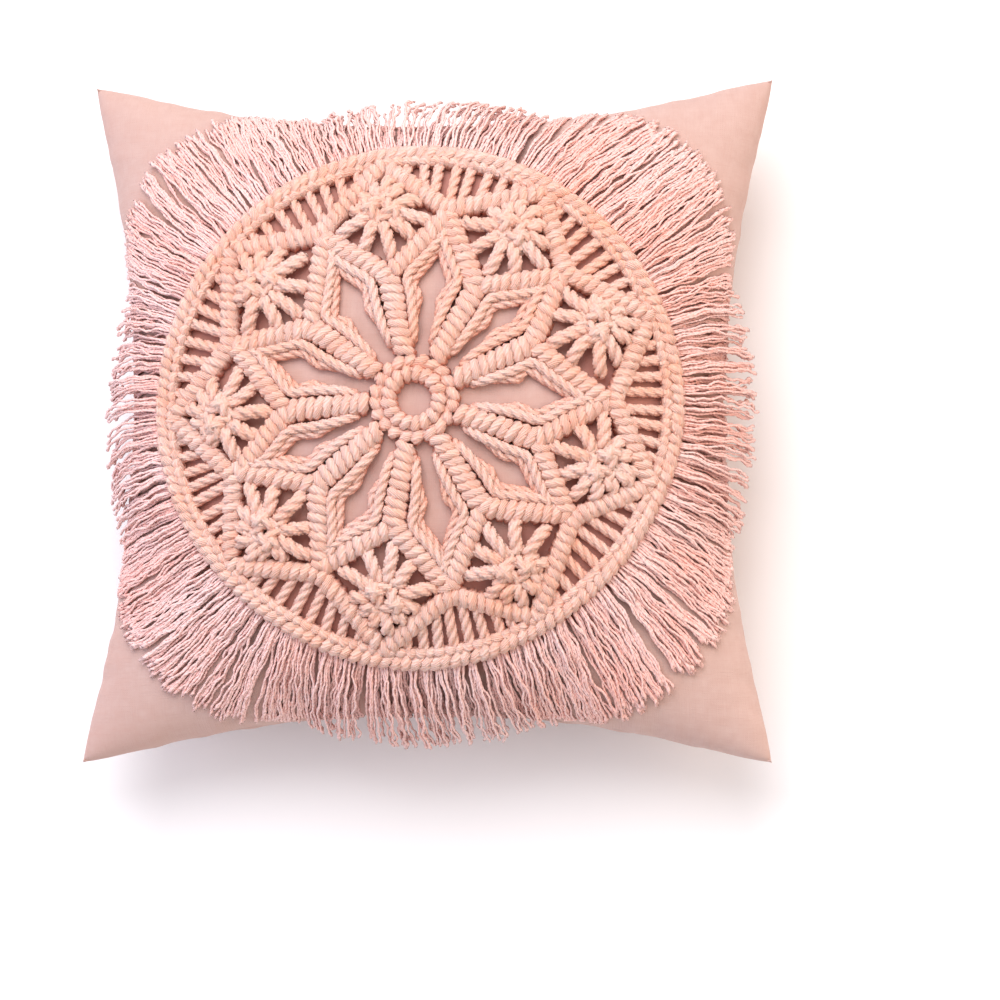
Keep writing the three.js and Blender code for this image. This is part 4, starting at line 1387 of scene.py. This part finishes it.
class CUSHION_OT_fringe(bpy.types.Operator):
    """Comb out the ends of the ring's cords into a long fringe"""

    bl_idname = "cushion.fringe"
    bl_label = "Fringe"

    STEP = 0.001  # along a yarn as its path is worked out
    STEPS = 84
    KEPT = 24  # points of the path that are kept
    BEND = 26.0  # how fast a level yarn bends down, in radians per metre
    START_RADIUS = RING_OUTER - 0.0080
    LOWEST = 0.004  # a yarn's middle line above the floor

    def execute(self, context):
        s = context.scene.cushion_fringe
        rng = np.random.default_rng(77)
        cord_angle = (np.arange(s.cords) + 0.5) * 360 / s.cords + rng.uniform(-0.5, 0.5, s.cords)
        swirl = np.radians(cord_angle)
        cord_lean = self.evened(rng.normal(0, 5.0, s.cords))
        cord_lean += 3.5 * np.sin(swirl * 3 + 0.6) + 2 * np.sin(swirl * 7 + 2.0)
        curl = self.evened(rng.normal(0, 0.2, s.cords))
        curl += 0.12 * np.sin(swirl * 4 + 1.1) + 0.05 * np.sin(swirl * 11 + 0.4)
        cord_tone = rng.uniform(0.1, 0.9, s.cords)
        cord = np.repeat(np.arange(s.cords), s.yarns)
        total = len(cord)
        across = rng.uniform(-1, 1, total)
        angle = np.radians(cord_angle[cord])
        start_turn = across * 0.0052 / RING_OUTER
        heading = angle + start_turn + np.radians(cord_lean[cord] + across * 4.8 + rng.normal(0, 2.4, total))
        length = s.length * rng.uniform(0.90, 1.04, total)
        layer = rng.uniform(0, 1, total) ** 0.8 * 0.0052
        points = self.paths(s, cord, curl, angle + start_turn, heading, length, layer, rng)
        tone = np.clip(cord_tone[cord] + rng.uniform(-0.25, 0.25, total), 0, 1)
        turned = np.degrees(angle) % 360
        sector = np.zeros(total, int)
        for k in range(SECTORS):
            low, high = side_angle(k) % 360, side_angle(k + 1) % 360
            inside = (turned >= low) & (turned < high) if low < high else (turned >= low) | (turned < high)
            sector[inside] = k
        for k in range(SECTORS):
            cords = []
            for n in np.nonzero(sector == k)[0]:
                radii = np.full(self.KEPT, s.yarn_radius) * rng.uniform(0.8, 1.1)
                radii[-2:] *= rng.uniform(1.1, 1.8)
                cords.append(Cord([tuple(point) for point in points[n]], radii, turns=2.5,
                                  start=float(rng.uniform(0, 6.3)), tone=float(tone[n]), ends=0.8))
            name = f"fringe_yarns_{k + 1}"
            mesh = cord_mesh(name, cords, SQUARE, settled_height)
            add_piece(name, mesh, finishes()["fringe"], "fringe_yarn", f"fringe_{k + 1}")
        return {"FINISHED"}

    def evened(self, values):
        """Values of neighbouring cords drawn together, so that the tufts don't part."""
        return 0.4 * values + 0.3 * np.roll(values, 1) + 0.3 * np.roll(values, -1)

    def paths(self, s, cord, curl, angle, heading, length, layer, rng):
        """Every yarn's path: out from the ring, down on to the cover, and bending over the sides."""
        total = len(angle)
        x, y = self.START_RADIUS * np.cos(angle), self.START_RADIUS * np.sin(angle)
        z = settled_height(x, y) + rng.uniform(0.0015, 0.0065, total)
        slope = self.slope(x, y, heading)
        dive = 0.5 * np.arctan(np.clip(slope, -0.5, 3)) - rng.uniform(0.0, 0.2, total)
        scale = length / (self.STEPS * self.STEP)
        wander = rng.normal(0, 1.0, (3, total))[0]  # only one of the three rows is needed
        phase = rng.uniform(0, 6.3, (4, s.cords))[:, cord] + rng.normal(0, 0.9, (4, total))
        wave = rng.uniform(0.014, 0.024, s.cords)[cord] * rng.uniform(0.94, 1.06, total)
        size = rng.uniform(0.0002, 0.0008, total)
        step = self.STEP * scale
        track = np.zeros((self.STEPS + 1, total, 3))
        track[0] = np.stack([x, y, z], 1)
        for n in range(1, self.STEPS + 1):
            along = n / self.STEPS
            turn = curl[cord] * along + 0.10 * np.sin(along * 4 + phase[0]) * wander * along
            way = heading + turn
            dive = dive + self.BEND * step * np.cos(dive)
            x = x + step * np.cos(dive) * np.cos(way)
            y = y + step * np.cos(dive) * np.sin(way)
            z = z - step * np.sin(dive)
            ground = settled_height(x, y)
            lift = s.yarn_radius + 0.0004 + layer * (1 - 0.55 * along)
            low = (z < ground + lift) & (ground > 0.02)
            drop = self.slope(x, y, way)
            z = np.where(low, ground + lift, z)
            dive = np.where(low, np.arctan(np.clip(drop, -0.5, 12)), dive)
            z = np.maximum(z, self.LOWEST)
            track[n] = np.stack([x, y, z], 1)
        kept = np.linspace(0, self.STEPS, self.KEPT)
        base = np.floor(kept).astype(int).clip(0, self.STEPS - 1)
        part = (kept - base)[:, None, None]
        line = track[base] * (1 - part) + track[base + 1] * part
        run = (kept / self.STEPS)[:, None] * length[None, :]
        grow = np.clip(run / 0.012, 0, 1)
        crimp = np.sin(2 * np.pi * run / wave + phase[1]) * size * grow
        crimp += np.sin(2 * np.pi * run / (wave * 2.6) + phase[2]) * size * 1.4 * grow
        hop = np.sin(2 * np.pi * run / (wave * 0.9) + phase[3]) * size * 0.6 * grow
        line[..., 0] += -np.sin(heading) * crimp
        line[..., 1] += np.cos(heading) * crimp
        line[..., 2] += np.maximum(hop, -0.0002)
        return np.swapaxes(line, 0, 1)

    def slope(self, x, y, way):
        """How steeply the settled front falls away in this direction."""
        ahead = 0.0015
        lower = settled_height(x + ahead * np.cos(way), y + ahead * np.sin(way))
        return (settled_height(x, y) - lower) / ahead


# ---------------------------------------------------------------- stage


class CUSHION_OT_stage(bpy.types.Operator):
    """Set up the floor, the soft lights and the camera"""

    bl_idname = "cushion.stage"
    bl_label = "Stage"

    def execute(self, context):
        scene = context.scene
        s = scene.cushion_stage
        data = bpy.data.cameras.new("camera")
        data.lens = s.lens
        data.sensor_width = 36
        data.clip_end = 20
        data.dof.use_dof = False
        camera = linked("camera", data)
        flat = math.cos(s.elevation)
        away = Vector((math.sin(s.azimuth) * flat, -math.cos(s.azimuth) * flat, math.sin(s.elevation)))
        back = away.normalized()
        up = Vector((0, 1, 0))
        up = (up - back * up.dot(back)).normalized()
        right = up.cross(back)
        roll = Matrix.Rotation(math.radians(VIEW_ROLL), 3, back)
        up, right = roll @ up, roll @ right
        turn = Matrix((right, up, back)).transposed().to_4x4()
        camera.matrix_world = Matrix.Translation(Vector(VIEW_AIM) + away * s.distance) @ turn
        scene.camera = camera
        bm = bmesh.new()
        bmesh.ops.create_grid(bm, x_segments=8, y_segments=8, size=4.0)
        bmesh.ops.translate(bm, verts=bm.verts, vec=(0, 0, -0.0006))
        floor = linked("floor", finished_mesh("floor", bm))
        floor.data.materials.append(floor_material())
        world = bpy.data.worlds.new("studio")
        world.use_nodes = True
        sky = world.node_tree.nodes["Background"]
        sky.inputs["Color"].default_value = (1.0, 0.97, 0.99, 1)
        sky.inputs["Strength"].default_value = 0.66
        scene.world = world
        self.light("key", (-0.3, 1.3, 2.1), 2.2, 53.0, (0.99, 0.965, 1.0))
        self.light("warm_fill", (1.6, 0.0, 1.0), 1.2, 10.0, (1.0, 0.74, 0.50))
        self.light("cool_fill", (-1.6, -0.3, 0.9), 1.2, 9.0, (0.55, 0.66, 1.0))
        scene.view_settings.view_transform = "Standard"
        return {"FINISHED"}

    def light(self, name, place, size, power, colour):
        data = bpy.data.lights.new(name, "AREA")
        data.shape = "DISK"
        data.size = size
        data.energy = power
        data.color = colour
        lamp = linked(name, data)
        lamp.location = place
        lamp.rotation_euler = (Vector((0, 0, 0.05)) - Vector(place)).to_track_quat("-Z", "Y").to_euler()


# ---------------------------------------------------------------- add-on


OPERATORS = (CUSHION_OT_stage, CUSHION_OT_cover, CUSHION_OT_hem_stitches, CUSHION_OT_insert,
             CUSHION_OT_rings, CUSHION_OT_petal_ribs, CUSHION_OT_star_ribs, CUSHION_OT_flower_knots,
             CUSHION_OT_fans, CUSHION_OT_fringe)


class CUSHION_PT_panel(bpy.types.Panel):
    """Steps that build the cushion"""

    bl_idname = "CUSHION_PT_panel"
    bl_label = "Floor Cushion"
    bl_space_type = "VIEW_3D"
    bl_region_type = "UI"
    bl_category = "Cushion"

    def draw(self, context):
        for operator in OPERATORS:
            self.layout.operator(operator.bl_idname)
        for name in SETTINGS:
            settings = getattr(context.scene, name)
            box = self.layout.box()
            for key in settings.__annotations__:
                box.prop(settings, key)


SETTINGS = {"cushion_cover": CoverSettings, "cushion_knots": KnotSettings,
            "cushion_fringe": FringeSettings, "cushion_stage": StageSettings}
CLASSES = (*SETTINGS.values(), *OPERATORS, CUSHION_PT_panel)


def register():
    for cls in CLASSES:
        bpy.utils.register_class(cls)
    for name, settings in SETTINGS.items():
        setattr(bpy.types.Scene, name, bpy.props.PointerProperty(type=settings))


def unregister():
    for name in SETTINGS:
        delattr(bpy.types.Scene, name)
    for cls in reversed(CLASSES):
        bpy.utils.unregister_class(cls)


def main():
    register()
    bpy.ops.cushion.stage()
    bpy.ops.cushion.cover()
    bpy.ops.cushion.hem_stitches()
    bpy.ops.cushion.insert()
    bpy.ops.cushion.rings()
    bpy.ops.cushion.petal_ribs()
    bpy.ops.cushion.star_ribs()
    bpy.ops.cushion.flower_knots()
    bpy.ops.cushion.fans()
    bpy.ops.cushion.fringe()


if __name__ == "__main__":
    main()
